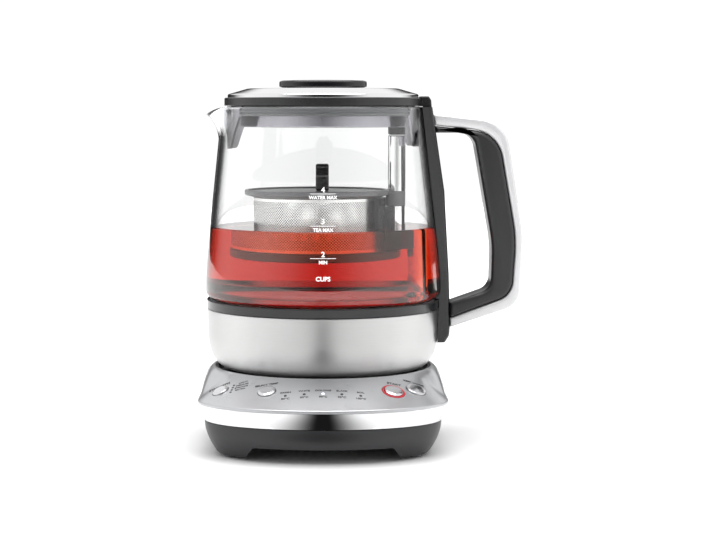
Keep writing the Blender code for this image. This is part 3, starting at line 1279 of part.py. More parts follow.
def tongues():
    """Centre angle, top and bottom half angles, lowest height and name of both tongues."""
    return ((180.0, SPOUT_TONGUE_TOP_ANGLE, SPOUT_TONGUE_BOTTOM_ANGLE, SPOUT_TONGUE_BOTTOM_Z,
             "spout_tongue"),
            (0.0, HANDLE_TONGUE_TOP_ANGLE, HANDLE_TONGUE_BOTTOM_ANGLE, HANDLE_TONGUE_BOTTOM_Z,
             "handle_tongue"))


def rib_share(angle):
    """How much of a seal rib stands at a polar angle: none behind the tongues."""
    share = 1.0
    for centre, half_angle, *_ in tongues():
        away = abs((math.degrees(angle) - centre + 180) % 360 - 180)
        share = min(share, max(0.0, (away - half_angle - SEAL_RELIEF_ANGLE) / SEAL_RUNOUT_ANGLE))
    return share


def make_seal(finish, frame, bottom, top):
    """Silicone band round the lid's plug, whose ribs run out where the tongues pass."""
    angles = [math.tau * step / JUG_SIDES for step in range(JUG_SIDES)]
    for centre, half_angle, *_ in tongues():
        start = half_angle + SEAL_RELIEF_ANGLE
        for reach in (start, start + SEAL_RUNOUT_ANGLE):
            angles += [math.radians((centre + side * reach) % 360) for side in (-1, 1)]
    inner = LID_PLUG_RADIUS + GAP
    outer = inner + SEAL_BAND
    pitch = (top - bottom) / (SEAL_RIB_COUNT + SEAL_END_SHARE)
    profile = [(inner, top, 0.0), (outer, top, 0.0)]
    for index in range(SEAL_RIB_COUNT):
        rib = top - pitch * (index + SEAL_END_SHARE)
        profile += [(outer, rib, 0.0), (outer, rib - SEAL_RIB_HEIGHT / 2, SEAL_RIB_REACH),
                    (outer, rib - SEAL_RIB_HEIGHT, 0.0)]
    profile += [(outer, bottom, 0.0), (inner, bottom, 0.0)]
    loops = [[polar(angle, (radius + reach * rib_share(angle)) * chord_share(angle), height)
              for angle in sorted(angles)] for radius, height, reach in profile]
    dress(skin("lid_seal", loops, ring=True), finish, frame)


def make_lid(finishes, frame):
    """Lid with its rim, plug, seal, smoked skirt, tongues, steel dome and knob."""
    top = LID_Z + LID_HEIGHT
    seat = DOME_Z - GAP
    inner = DOME_RADIUS + GAP
    floor = LID_Z + LID_FLOOR_THICKNESS
    plug_z = LID_Z - LID_PLUG_DEPTH
    rim = turned("lid_rim", [
        (0.0, floor), (inner - LID_FLOOR_THICKNESS, floor), (inner - LID_FLOOR_THICKNESS, seat),
        (inner, seat), (inner, top), (LID_RADIUS - LID_ROUNDING, top),
        (LID_RADIUS, top - LID_ROUNDING), (LID_RADIUS, LID_Z), (LID_PLUG_RADIUS, LID_Z),
        (LID_PLUG_RADIUS, plug_z), (LID_PLUG_RADIUS - LID_PLUG_WALL, plug_z),
        (LID_PLUG_RADIUS - LID_PLUG_WALL, LID_Z), (0.0, LID_Z)])
    cut(rim, spine_notch("notch_tool"))
    bore = KNOB_PIN_RADIUS + GAP
    cut(rim, turned("pin_tool", [(0.0, top), (bore, top), (bore, LID_Z - OVERRUN),
                                 (0.0, LID_Z - OVERRUN)], ROUND_SEGMENTS))
    dress(rim, finishes["black"], frame)

    crown = [(bore, DOME_TOP_Z), (DOME_TOP_RADIUS, DOME_TOP_Z),
             (DOME_SHOULDER_RADIUS, DOME_TOP_Z - DOME_TOP_RISE),
             (DOME_RADIUS, DOME_Z + DOME_EDGE_RISE), (DOME_RADIUS, DOME_Z)]
    under = [(radius - DOME_WALL * (radius > bore), height - DOME_WALL)
             for radius, height in crown[:-1]]
    under.append((DOME_RADIUS - DOME_WALL, DOME_Z))
    dome = turned("lid_dome", crown + under[::-1])
    dress(dome, finishes["polished"], frame)
    make_knob(finishes["black"], frame)

    seal_top = LID_Z - GAP
    make_seal(finishes["rubber"], frame, plug_z, seal_top)
    for centre, top_angle, bottom_angle, bottom, name in tongues():
        middle = (plug_z + bottom) / 2
        rows = [(bottom, bottom_angle * TONGUE_CORNER_SHARE), (bottom + LID_ROUNDING, bottom_angle),
                (middle, (top_angle + bottom_angle) / 2), (plug_z, top_angle),
                (seal_top, top_angle)]
        tongue = curved_plate(name, TONGUE_RADIUS - TONGUE_WALL, TONGUE_RADIUS, rows,
                              TONGUE_COLUMNS, centre)
        dress(tongue, finishes["smoked"], frame)

    skirt = turned("lid_skirt", [
        (SKIRT_RADIUS - SKIRT_WALL, seal_top), (SKIRT_RADIUS, seal_top),
        (SKIRT_RADIUS, SKIRT_BOTTOM_Z), (SKIRT_RADIUS - SKIRT_WALL, SKIRT_BOTTOM_Z)])
    notch_top = POST_TOP_Z + POST_COLLAR_HEIGHT + POST_CAP_HEIGHT + SKIRT_WALL
    cut(skirt, box("notch_tool", (SKIRT_RADIUS, 0.0, (SKIRT_BOTTOM_Z - OVERRUN + notch_top) / 2),
                   (SKIRT_RADIUS, 2 * SKIRT_NOTCH_HALF_WIDTH,
                    notch_top - SKIRT_BOTTOM_Z + OVERRUN)))
    dress(skirt, finishes["smoked"], frame)


def make_knob(finish, frame):
    """Low oval knob, drawn in at its neck and slightly domed, with a pin through the dome."""
    bottom = DOME_TOP_Z + GAP
    levels = ((KNOB_NECK_SHARE, 0.0), (KNOB_NECK_SHARE, KNOB_NECK_HEIGHT),
              (1.0, KNOB_NECK_HEIGHT + KNOB_NECK_FLARE),
              (1.0, KNOB_HEIGHT - LID_ROUNDING), (KNOB_EDGE_SHARE, KNOB_HEIGHT - KNOB_TOP_DROP),
              (KNOB_EDGE_SHARE / 2, KNOB_HEIGHT))
    loops = [[(x * share, y * share, bottom + rise)
              for x, y in elliptic_arc(0.0, 0.0, KNOB_LENGTH / 2, KNOB_WIDTH / 2,
                                       0, 360, KNOB_SEGMENTS)[:-1]]
             for share, rise in levels]
    knob = skin("lid_knob", loops)
    pin_tool = turned("pin_tool", [
        (0.0, bottom + KNOB_NECK_HEIGHT), (KNOB_PIN_RADIUS, bottom + KNOB_NECK_HEIGHT),
        (KNOB_PIN_RADIUS, LID_Z), (0.0, LID_Z)], ROUND_SEGMENTS)
    dress(join(knob, pin_tool), finish, frame)


def body_envelope(name, clearance):
    """Solid a clearance larger than the glass, collar and shell, to fit pieces round them."""
    profile = [(0.0, GLASS_RIM_Z + clearance), (GLASS_RIM_RADIUS + clearance,
                                                GLASS_RIM_Z + clearance)]
    for share in (1.0, 0.0, -1.0):
        height = GLASS_SHOULDER_Z + GLASS_SHOULDER_REACH * share
        profile.append((glass_radius(height) + clearance, height))
    profile += [(GLASS_FOOT_RADIUS + clearance, GLASS_BOTTOM_Z),
                (COLLAR_RADIUS + clearance, GLASS_BOTTOM_Z - clearance),
                (COLLAR_RADIUS + clearance, COLLAR_Z),
                (SHELL_RADIUS + clearance, SHELL_TOP_Z)]
    profile += [(radius + clearance, height) for radius, height in shell_profile()[1:]]
    profile.append((0.0, SHELL_LIP_Z))
    return turned(name, profile, 2 * JUG_SIDES)



def spine_edge():
    """Outer edge of the spine in the x-z plane, top to bottom, with the rounding of corners."""
    return [(SPINE_HEAD_X, SPINE_TOP_Z - SPINE_TOP_DEPTH, 0.0),
            (SPINE_SHOULDER_X, SPINE_SHOULDER_Z, SPINE_ROUNDING),
            (SPINE_WAIST_X, GLASS_SHOULDER_Z, SPINE_ROUNDING),
            (SPINE_FOOT_X, HANDLE_TOE_Z, SPINE_CHAMFER),
            (SPINE_FOOT_X - SPINE_CHAMFER / 2, SPINE_BOTTOM_Z, 0.0)]


def spine_x(height):
    """How far out the spine's outer edge lies at a height."""
    edge = spine_edge()
    for (x0, z0, _), (x1, z1, _) in zip(edge, edge[1:]):
        if z1 <= height <= z0:
            return x0 + (x1 - x0) * (height - z0) / (z1 - z0)
    return SPINE_FOOT_X


def spine_notch(name):
    """The volume that the lid leaves free for the cap of the spine."""
    start = DOME_RADIUS + GAP
    end = SPINE_FOOT_X
    low, high = LID_Z - OVERRUN, LID_Z + LID_HEIGHT + OVERRUN
    return box(name, ((start + end) / 2, 0.0, (low + high) / 2),
               (end - start, 2 * (SPINE_CAP_HALF_WIDTH + GAP), high - low))


def make_spine(finish, frame):
    """Strip that clasps the glass and steel and carries the handle, capped over the rim."""
    start = DOME_RADIUS + 2 * GAP
    outline = [(start, SPINE_BOTTOM_Z), (start, SPINE_TOP_Z - SPINE_BEVEL),
               (start + SPINE_BEVEL, SPINE_TOP_Z)] + rounded_path(spine_edge())
    spine = prism("handle_spine", outline, -1.0, 1.0)
    run = SPINE_TOP_Z - SPINE_BOTTOM_Z
    for vertex in spine.data.vertices:
        share = (vertex.co.z - SPINE_BOTTOM_Z) / run
        width = SPINE_BOTTOM_HALF_WIDTH + (SPINE_TOP_HALF_WIDTH - SPINE_BOTTOM_HALF_WIDTH) * share
        vertex.co.y *= width
    cut(spine, body_envelope("envelope_tool", GAP))
    cheek = SPINE_TOP_HALF_WIDTH
    for side in (-1, 1):
        cut(spine, box("cheek_tool", (SPINE_HEAD_X, side * (SPINE_CAP_HALF_WIDTH + cheek / 2),
                                      GLASS_RIM_Z + (GAP + SPINE_TOP_Z - GLASS_RIM_Z) / 2),
                       (SPINE_HEAD_X / 2, cheek, SPINE_TOP_Z - GLASS_RIM_Z + GAP)))
    dress(spine, finish, frame)


def handle_path(inset_top, inset_side, inset_toe):
    """Corners of the handle's outer sweep, drawn in by three insets, from top to toe."""
    top = HANDLE_TOP_Z - inset_top
    toe = HANDLE_TOE_Z + inset_toe
    return [(spine_x(top) + GAP, top, 0.0),
            (HANDLE_SHOULDER_X - inset_side, top - HANDLE_TOP_DROP, HANDLE_SHOULDER_ROUNDING),
            (HANDLE_REACH - inset_side, HANDLE_BULGE_Z, HANDLE_BULGE_ROUNDING),
            (HANDLE_HEEL_X - inset_side, HANDLE_HEEL_Z + inset_toe, HANDLE_HEEL_ROUNDING),
            (spine_x(toe) + GAP, toe, 0.0)]


def make_handle(grip_finish, trim_finish, frame):
    """D-shaped grip and the bright trim round its back."""
    outer = rounded_path(handle_path(0.0, 0.0, 0.0))
    inner = rounded_path(handle_path(TRIM_TOP_THICKNESS, TRIM_SIDE_THICKNESS, TRIM_TOE_THICKNESS))
    trim = prism("handle_trim", outer + inner[::-1], -TRIM_HALF_WIDTH, TRIM_HALF_WIDTH)
    dress(bevelled(trim, TRIM_BEVEL), trim_finish, frame)
    back = rounded_path(handle_path(TRIM_TOP_THICKNESS + GAP, TRIM_SIDE_THICKNESS + GAP,
                                    TRIM_TOE_THICKNESS + GAP))
    front = rounded_path([
        (spine_x(FINGER_TOP_Z) + GAP, FINGER_TOP_Z, 0.0),
        (FINGER_SHOULDER_X, FINGER_TOP_Z, FINGER_SHOULDER_ROUNDING),
        (FINGER_BULGE_X, FINGER_BULGE_Z, FINGER_BULGE_ROUNDING),
        (FINGER_HEEL_X, FINGER_HEEL_Z, FINGER_HEEL_ROUNDING),
        (spine_x(FINGER_TOE_Z) + GAP, FINGER_TOE_Z, 0.0)])
    grip = prism("handle_grip", back + front[::-1], -GRIP_HALF_WIDTH, GRIP_HALF_WIDTH)
    dress(bevelled(grip, GRIP_BEVEL), grip_finish, frame)


def empty(name, parent, location):
    """A named frame that pieces hang on."""
    made = bpy.data.objects.new(name, None)
    bpy.context.scene.collection.objects.link(made)
    made.parent = parent
    made.location = location
    return made


def main():
    """Builds the tea maker."""
    for old in list(bpy.data.objects):
        bpy.data.objects.remove(old, do_unlink=True)
    finishes = {
        "tub": material("Dark grey plastic", (0.10, 0.10, 0.11), 0.45),
        "polished": material("Polished steel", (0.80, 0.80, 0.82), 0.12, 1.0),
        "steel": material("Brushed steel", (0.62, 0.61, 0.60), 0.30, 1.0),
        "silver": material("Silver coating", (0.66, 0.67, 0.69), 0.38, 0.6),
        "grey": material("Grey plastic", (0.42, 0.42, 0.43), 0.45),
        "black": material("Black plastic", (0.02, 0.02, 0.02), 0.30),
        "rubber": material("Grey silicone", (0.30, 0.30, 0.31), 0.60),
        "dark_steel": material("Dark steel", (0.25, 0.24, 0.24), 0.40, 1.0),
        "aluminium": material("Aluminium", (0.75, 0.75, 0.76), 0.40, 1.0),
        "brass": material("Brass", (0.75, 0.58, 0.28), 0.30, 1.0),
        "board": material("Green laminate", (0.03, 0.18, 0.09), 0.50),
        "clear": material("Clear plastic", (0.85, 0.87, 0.90), 0.10, 0.0, 0.8),
        "glass": material("Clear glass", (0.96, 0.97, 0.97), 0.02, 0.0, 1.0),
        "smoked": material("Smoked plastic", (0.20, 0.20, 0.22), 0.15, 0.0, 0.7),
        "red": material("Red light", (0.80, 0.05, 0.05), 0.30),
    }
    base = empty("base_frame", None, (AXIS_X, AXIS_Y, 0.0))
    jug = empty("jug_frame", base, (0.0, 0.0, 0.0))
    lid = empty("lid_frame", jug, (0.0, 0.0, 0.0))
    basket = empty("basket_frame", jug, (POST_X, 0.0, 0.0))
    cover = empty("cover_frame", basket, (BASKET_X - POST_X, 0.0, 0.0))

    make_tub(finishes["tub"], base)
    make_band(finishes["polished"], base)
    make_deck(finishes["silver"], base)
    make_seat(finishes["black"], finishes["black"], base)
    make_feet(finishes["rubber"], base)
    make_outlet(finishes["black"], base)
    make_buttons(finishes["polished"], finishes["red"], finishes["black"], base)
    make_light_guides(finishes["clear"], base)
    make_boards(finishes["board"], base)

    make_jug_base(finishes, jug)
    make_glass(finishes["glass"], jug)
    make_post(finishes, jug)
    make_spine(finishes["black"], jug)
    make_handle(finishes["black"], finishes["polished"], jug)

    make_lid(finishes, lid)

    make_strainer(finishes["steel"], basket)
    make_basket_floor(finishes["steel"], finishes["grey"], basket)
    make_carrier(finishes["grey"], finishes["black"], basket)
    make_cover(finishes["grey"], finishes["black"], cover)


main()
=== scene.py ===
"""Studio picture of an automatic tea maker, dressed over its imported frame.

The drawing is in millimetres, +Z up, in the frame's own axes: the front faces -Y and the
jug's handle points to +X. Meshes turn it into metres. Every new surface is a grid of points
worked out as whole numpy arrays: a profile turned round an axis, a loop lofted through
levels, or a section carried along a path.
"""
import logging
import math
from dataclasses import dataclass, field
from enum import Enum

import bmesh
import bpy
import numpy as np
from mathutils import Matrix, Vector


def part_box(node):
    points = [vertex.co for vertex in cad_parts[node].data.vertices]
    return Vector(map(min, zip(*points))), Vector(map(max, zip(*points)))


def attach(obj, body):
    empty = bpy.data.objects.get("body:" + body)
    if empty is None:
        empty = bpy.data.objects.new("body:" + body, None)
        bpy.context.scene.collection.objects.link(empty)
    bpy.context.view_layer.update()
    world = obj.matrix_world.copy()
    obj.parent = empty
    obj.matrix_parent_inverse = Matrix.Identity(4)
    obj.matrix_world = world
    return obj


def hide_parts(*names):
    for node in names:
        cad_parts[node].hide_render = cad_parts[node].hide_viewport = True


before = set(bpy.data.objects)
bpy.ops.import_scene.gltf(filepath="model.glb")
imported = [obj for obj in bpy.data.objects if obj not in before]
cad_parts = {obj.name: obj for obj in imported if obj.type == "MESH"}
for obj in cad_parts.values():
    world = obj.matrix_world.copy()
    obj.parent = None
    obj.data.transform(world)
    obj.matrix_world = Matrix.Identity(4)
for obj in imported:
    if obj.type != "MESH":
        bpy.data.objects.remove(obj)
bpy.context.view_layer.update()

LOG = logging.getLogger("tea_maker")
MM = 0.001
GAP = 0.3
FULL_TURN = 2 * math.pi
QUARTER_TURN = math.pi / 2
SHARP_ANGLE = math.radians(40.0)
BROAD_SCALE = 60.0
COAT_ROUGHNESS = 0.08
ORIGIN = np.zeros(2)
FINE_DETAIL, BROAD_DETAIL, BROAD_SHARE = 3.0, 2.0, 0.4
GRAIN_TURN = 0.25
# Facing blend and range over which the painted shade along an outline sets in.
FACING_BLEND, PAINTED_RIM_SHADE_START, PAINTED_RIM_SHADE_FULL = 0.5, 0.60, 0.88
REACH_SHARE, HOLD_SHARE, HOLD_REACH_SHARE = 0.48, 0.2, 0.49
POLE_RADIUS = 0.05
TOOL_REACH = 4.0
Piece = bpy.types.Object
Socket = bpy.types.NodeSocket
Triple = tuple[float, float, float]
Stops = tuple[tuple[float, float], ...]


def node_middle(node: str) -> np.ndarray:
    """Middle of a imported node's box, in millimetres."""
    low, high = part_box(node)
    return (np.array(low) + np.array(high)) / 2 / MM


JUG_AXIS = node_middle("steel_shell")[:2]
POST_AXIS = node_middle("lift_post")[:2]
BASKET_AXIS = node_middle("basket_cover")[:2]
DRAWN_COLLAR_FOOT = 79.1
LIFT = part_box("collar_ring")[0].z / MM - DRAWN_COLLAR_FOOT
LIFTED_BODIES = ("jug", "lid", "basket", "basket_lid")


def drawn_box(node: str) -> tuple[Vector, Vector]:
    """Box of a node of the jug, in millimetres and in the heights of the jug's drawing."""
    low, high = (corner / MM - Vector((0.0, 0.0, LIFT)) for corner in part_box(node))
    return low, high


class Graph:
    """Short way to build the nodes of one material or world."""

    def __init__(self, owner: bpy.types.Material | bpy.types.World) -> None:
        """Starts from the owner's own nodes."""
        owner.use_nodes = True
        self.tree = owner.node_tree

    def feed(self, node: bpy.types.Node | str, inputs: dict[str | int, object]) -> None:
        """Sets or links inputs of a node.

        Args:
            node: The node, or the name of one that is there from the start.
            inputs: A value or a socket for each input's name or number.
        """
        node = self.tree.nodes[node] if isinstance(node, str) else node
        for key, value in inputs.items():
            if isinstance(value, Socket):
                self.tree.links.new(value, node.inputs[key])
            else:
                node.inputs[key].default_value = value

    def add(self, kind: str, inputs: dict[str | int, object], result: str = "Result",
            **settings: str | bool) -> Socket:
        """Adds a node.

        Args:
            kind: Type of the node, without its prefix.
            inputs: A value or a socket for each input's name or number.
            result: Name of the wanted output.
            settings: Properties of the node.

        Returns:
            The wanted output.
        """
        node = self.tree.nodes.new(f"ShaderNode{kind}")
        for name, value in settings.items():
            setattr(node, name, value)
        self.feed(node, inputs)
        return node.outputs[result]

    def compute(self, operation: str, *values: Socket | float, clamp: bool = False) -> Socket:
        """One sum of one or two values."""
        return self.add("Math", dict(enumerate(values)), "Value", operation=operation,
                        use_clamp=clamp)

    def ease(self, value: Socket, **ends: float) -> Socket:
        """Maps a value with eased ends; from_min, from_max, to_min and to_max set the ranges."""
        ranges = {name.replace("_", " ").title(): end for name, end in ends.items()}
        return self.add("MapRange", {**ranges, "Value": value}, interpolation_type="SMOOTHSTEP")

    def mix(self, kind: str, factor: Socket | float, first: object, second: object) -> Socket:
        """Blend of two values or colours; kind is FLOAT or RGBA."""
        return self.add("Mix", {"Factor": factor, "A": first, "B": second}, data_type=kind)

    def noise(self, place: Socket, scale: float, stretch: Triple, detail: float) -> Socket:
        """Noise with so many cells in a metre, stretched along the grain."""
        mapped = self.add("Mapping", {"Scale": tuple(scale * share for share in stretch),
                                      "Vector": place}, "Vector")
        return self.add("TexNoise", {"Scale": 1.0, "Detail": detail, "Vector": mapped}, "Fac")


class Grain(Enum):
    """How the small variation in a finish runs."""

    EVEN = (1.0, 1.0, 1.0)
    ROUND = (0.02, 0.02, 1.0)
    ACROSS = (0.02, 1.0, 1.0)


@dataclass(frozen=True)
class Finish:
    """A procedural finish: a base colour and roughness broken up by fine and broad noise, with
    painted shade along the outline where edge is below one.
    """

    label: str
    slot: str
    colour: Triple
    roughness: float
    metallic: float = 0.0
    transmission: float = 0.0
    ior: float = 1.5
    coat: float = 0.0
    specular: float = 0.5
    grain: Grain = Grain.EVEN
    fineness: float = 2500.0
    roughness_swing: float = 0.06
    colour_swing: float = 0.05
    bump: float = 0.02
    bump_depth: float = 0.05 * MM
    broad_swing: float = 0.04
    emission: float = 0.0
    emission_colour: Triple = (1.0, 1.0, 1.0)
    # Share of the colour kept at the outline; below one it paints shade where the surface turns
    # away.
    edge: float = 1.0
    anisotropy: float = 0.0

    def material(self) -> bpy.types.Material:
        """Builds the node material, once for each finish.

        Returns:
            The material, shared by every piece that has the finish.
        """
        known = bpy.data.materials.get(self.label)
        if known is not None:
            return known
        made = bpy.data.materials.new(self.label)
        graph = Graph(made)
        place = graph.add("TexCoord", {}, "Object")
        fine = graph.noise(place, self.fineness, self.grain.value, FINE_DETAIL)
        broad = graph.noise(place, BROAD_SCALE, Grain.EVEN.value, BROAD_DETAIL)
        spread = graph.add("MapRange", {
            "To Min": max(0.0, self.roughness - self.roughness_swing),
            "To Max": self.roughness + self.roughness_swing, "Value": fine})
        smudge = graph.add("MapRange", {"To Min": -self.broad_swing, "To Max": self.broad_swing,
                                        "Value": broad})
        inputs = {
            "Metallic": self.metallic, "Transmission Weight": self.transmission,
            "IOR": self.ior, "Coat Weight": self.coat, "Coat Roughness": COAT_ROUGHNESS,
            "Anisotropic": self.anisotropy, "Anisotropic Rotation": GRAIN_TURN,
            "Specular IOR Level": self.specular,
            "Emission Color": (*self.emission_colour, 1.0), "Emission Strength": self.emission,
            "Roughness": graph.compute("ADD", spread, smudge, clamp=True),
            "Base Color": self._colour(graph, fine, broad)}
        if self.bump > 0.0:
            inputs["Normal"] = graph.add("Bump", {
                "Strength": self.bump, "Distance": self.bump_depth, "Height": fine}, "Normal")
        graph.feed("Principled BSDF", inputs)
        return made

    def _tone(self, share: float) -> tuple[float, ...]:
        """The base colour times a share, kept below white."""
        return (*(min(1.0, part * share) for part in self.colour), 1.0)

    def _colour(self, graph: Graph, fine: Socket, broad: Socket) -> Socket:
        """Swings between a darker and a lighter tone, and paints shade where the surface turns away
        from view.

        Args:
            graph: Nodes of the material.
            fine: Fine noise.
            broad: Broad noise.

        Returns:
            Socket of the colour.
        """
        blend = graph.mix("FLOAT", BROAD_SHARE, fine, broad)
        colour = graph.mix("RGBA", blend, self._tone(1 - self.colour_swing),
                           self._tone(1 + self.colour_swing))
        if self.edge == 1.0:
            return colour
        # Painted shade: the colour falls towards the edge tone as the surface turns away from view.
        facing = graph.add("LayerWeight", {"Blend": FACING_BLEND}, "Facing")
        outline = graph.ease(facing, from_min=PAINTED_RIM_SHADE_START, from_max=PAINTED_RIM_SHADE_FULL)
        return graph.mix("RGBA", outline, colour, self._tone(self.edge))


@dataclass(frozen=True)
class TeaFinish:
    """Clear liquid that darkens with depth, from amber to deep red."""

    label: str = "Brewed tea"
    depth_colour: Triple = (0.885, 0.36, 0.08)
    density: float = 68.0
    ior: float = 1.33
    cloud_scale: float = 25.0
    thick_tone: Triple = (0.99, 0.90, 0.80)
    thin_tone: Triple = (1.0, 0.92, 0.83)

    def material(self) -> bpy.types.Material:
        """Builds the liquid: a clear surface over an absorbing volume.

        Returns:
            The liquid's material.
        """
        made = bpy.data.materials.new(self.label)
        graph = Graph(made)
        noise = graph.add("TexNoise", {"Scale": self.cloud_scale,
                                       "Vector": graph.add("TexCoord", {}, "Object")}, "Fac")
        tone = graph.mix("RGBA", noise, (*self.thick_tone, 1.0), (*self.thin_tone, 1.0))
        graph.feed("Principled BSDF", {"Roughness": 0.0, "Transmission Weight": 1.0,
                                       "IOR": self.ior, "Base Color": tone})
        depth = graph.add("VolumeAbsorption", {"Color": (*self.depth_colour, 1.0),
                                               "Density": self.density}, "Volume")
        graph.feed("Material Output", {"Volume": depth})
        return made


class Finishes:
    """Every finish of the machine, each with a slot name."""

    tub = Finish("Dark grey moulded plastic", "tub_plastic", (0.022, 0.022, 0.024), 0.36,
                 fineness=3500.0, bump=0.15, colour_swing=0.08)
    polished = Finish("Polished steel", "polished_steel", (0.90, 0.90, 0.91), 0.05, metallic=1.0,
                      roughness_swing=0.02, broad_swing=0.02, bump=0.0, colour_swing=0.02)
    brushed = Finish("Round brushed steel", "brushed_steel", (0.64, 0.64, 0.635), 0.38,
                     anisotropy=0.8, metallic=1.0, grain=Grain.ROUND, fineness=5000.0,
                     roughness_swing=0.10, colour_swing=0.10, bump=0.25, bump_depth=0.02 * MM)
    basket_steel = Finish("Etched steel", "brushed_steel", (0.84, 0.83, 0.82), 0.20,
                          metallic=1.0, roughness_swing=0.04, colour_swing=0.05, bump=0.05)
    post_steel = Finish("Turned steel post", "polished_steel", (0.90, 0.90, 0.90), 0.07,
                        metallic=1.0, grain=Grain.ROUND, fineness=6000.0, roughness_swing=0.05,
                        colour_swing=0.04, bump=0.10, bump_depth=0.02 * MM)
    plate_steel = Finish("Heating plate steel", "polished_steel", (0.12, 0.115, 0.11), 0.55,
                         metallic=0.4, grain=Grain.ACROSS, fineness=3000.0,
                         roughness_swing=0.08, colour_swing=0.08, bump=0.10,
                         bump_depth=0.02 * MM)
    silver = Finish("Satin silver coat", "silver_coating", (0.53, 0.535, 0.55), 0.30,
                    metallic=0.8, fineness=6000.0, colour_swing=0.06, bump=0.06,
                    bump_depth=0.02 * MM, coat=0.15)
    # Dark copy of the steel for the basket's inner faces and hole walls: painted shade for its dim
    # inside.
    painted_shade_steel = Finish("Steel with painted shade", "brushed_steel", (0.10, 0.10, 0.10), 0.5, metallic=0.6,
                         bump=0.0)
    grey = Finish("Grey moulded plastic", "grey_plastic", (0.23, 0.23, 0.24), 0.36,
                  fineness=3500.0, bump=0.06)
    collar = Finish("Collar grey plastic", "grey_plastic", (0.013, 0.013, 0.014), 0.17,
                    fineness=3500.0, bump=0.05)
    black = Finish("Black moulded plastic", "black_plastic", (0.012, 0.012, 0.013), 0.26,
                   fineness=3500.0, bump=0.08, coat=0.1)
    gloss_black = Finish("Gloss black plastic", "black_plastic", (0.008, 0.008, 0.009), 0.12,
                         roughness_swing=0.03, bump=0.0, coat=0.3)
    grip = Finish("Handle grip plastic", "black_plastic", (0.02, 0.02, 0.021), 0.34,
                  fineness=3000.0, bump=0.1)
    rubber = Finish("Grey silicone", "silicone", (0.16, 0.16, 0.17), 0.62, bump=0.2)
    seal = Finish("Clear silicone", "silicone", (0.55, 0.56, 0.58), 0.35, transmission=0.5,
                  bump=0.05)
    smoked = Finish("Smoked clear plastic", "smoked_plastic", (0.45, 0.44, 0.48), 0.16,
                    metallic=0.75, transmission=0.85, ior=1.45, roughness_swing=0.03, bump=0.0)
    # The glass's colour falls to 4 % at its outline: painted shade for its dark edges.
    glass = Finish("Borosilicate glass", "clear_glass", (0.985, 0.99, 0.988), 0.0,
                   transmission=1.0, ior=1.47, roughness_swing=0.0, broad_swing=0.0,
                   colour_swing=0.005, bump=0.0, edge=0.04)
    trim = Finish("Satin handle trim", "polished_steel", (0.72, 0.72, 0.73), 0.32, metallic=0.4,
                  roughness_swing=0.04, bump=0.0)
    dome = Finish("Spun steel dome", "polished_steel", (0.80, 0.80, 0.81), 0.10, metallic=1.0,
                  grain=Grain.ROUND, fineness=5000.0, roughness_swing=0.03, colour_swing=0.03,
                  bump=0.05, bump_depth=0.01 * MM)
    button = Finish("Button chrome", "polished_steel", (0.72, 0.72, 0.74), 0.16, metallic=1.0,
                    roughness_swing=0.03, bump=0.0)
    red_ring = Finish("Red lit ring", "red_light", (0.42, 0.02, 0.03), 0.30, emission=0.12,
                      emission_colour=(1.0, 0.05, 0.08), roughness_swing=0.02, bump=0.0)
    lamp_dark = Finish("Unlit lens", "clear_plastic", (0.05, 0.05, 0.055), 0.25,
                       roughness_swing=0.03, bump=0.0)
    lamp_lit = Finish("Lit lens", "clear_plastic", (0.75, 0.80, 0.95), 0.25, emission=1.2,
                      emission_colour=(0.75, 0.85, 1.0), roughness_swing=0.02, bump=0.0)
    # The glow paints light onto the white print, which is no lamp.
    glowing_print_white = Finish("White print with painted glow", "", (0.92, 0.92, 0.92), 0.45, emission=0.25,
                         roughness_swing=0.02, bump=0.0)
    print_grey = Finish("Dark print", "", (0.015, 0.015, 0.016), 0.5, roughness_swing=0.02,
                        bump=0.0)
    brass = Finish("Contact brass", "contact_brass", (0.75, 0.56, 0.26), 0.25, metallic=1.0)
    board = Finish("Green laminate", "circuit_board", (0.02, 0.14, 0.06), 0.45)
    element = Finish("Heating tube steel", "element_steel", (0.22, 0.21, 0.20), 0.40,
                     metallic=1.0)
    aluminium = Finish("Cast aluminium", "aluminium", (0.62, 0.62, 0.63), 0.42, metallic=1.0,
                       bump=0.2)
    tea = TeaFinish()


def fillet(corners: list[Triple], steps: int = 5, closed: bool = True,
           hold: float = 0.35) -> np.ndarray:
    """Outline with rounded corners: each corner becomes an arc tangent to both its sides.

    A holding point on each side keeps the shading of the flat stretches flat.

    Args:
        corners: x, y and rounding of each corner.
        steps: Steps of each arc.
        closed: Whether the last corner joins the first.
        hold: Distance of the holding points from the arc's ends.

    Returns:
        Points of the outline, one row each.
    """
    count = len(corners)
    parts = []
    for index, (x, y, radius) in enumerate(corners):
        corner = np.array((x, y))
        if radius <= 0.0 or (not closed and index in (0, count - 1)):
            parts.append(corner[None, :])
            continue
        back = np.array(corners[index - 1][:2]) - corner
        ahead = np.array(corners[(index + 1) % count][:2]) - corner
        back_length, ahead_length = np.hypot(*back), np.hypot(*ahead)
        back, ahead = back / back_length, ahead / ahead_length
        half = math.acos(float(np.clip(back @ ahead, -1.0, 1.0))) / 2
        reach = min(radius / math.tan(half), REACH_SHARE * min(back_length, ahead_length))
        radius = reach * math.tan(half)
        middle = corner + (back + ahead) / np.hypot(*(back + ahead)) * radius / math.sin(half)
        start, end = corner + back * reach - middle, corner + ahead * reach - middle
        sweep = math.pi - 2 * half
        share = np.linspace(0.0, 1.0, steps + 1)[:, None]
        arc = (np.sin((1 - share) * sweep) * start + np.sin(share * sweep) * end) / math.sin(sweep)
        lead = min(hold, HOLD_SHARE * back_length, HOLD_REACH_SHARE * back_length - reach)
        trail = min(hold, HOLD_SHARE * ahead_length, HOLD_REACH_SHARE * ahead_length - reach)
        parts.append(np.vstack((corner + back * (reach + lead), middle + arc,
                                corner + ahead * (reach + trail))))
    return np.vstack(parts)


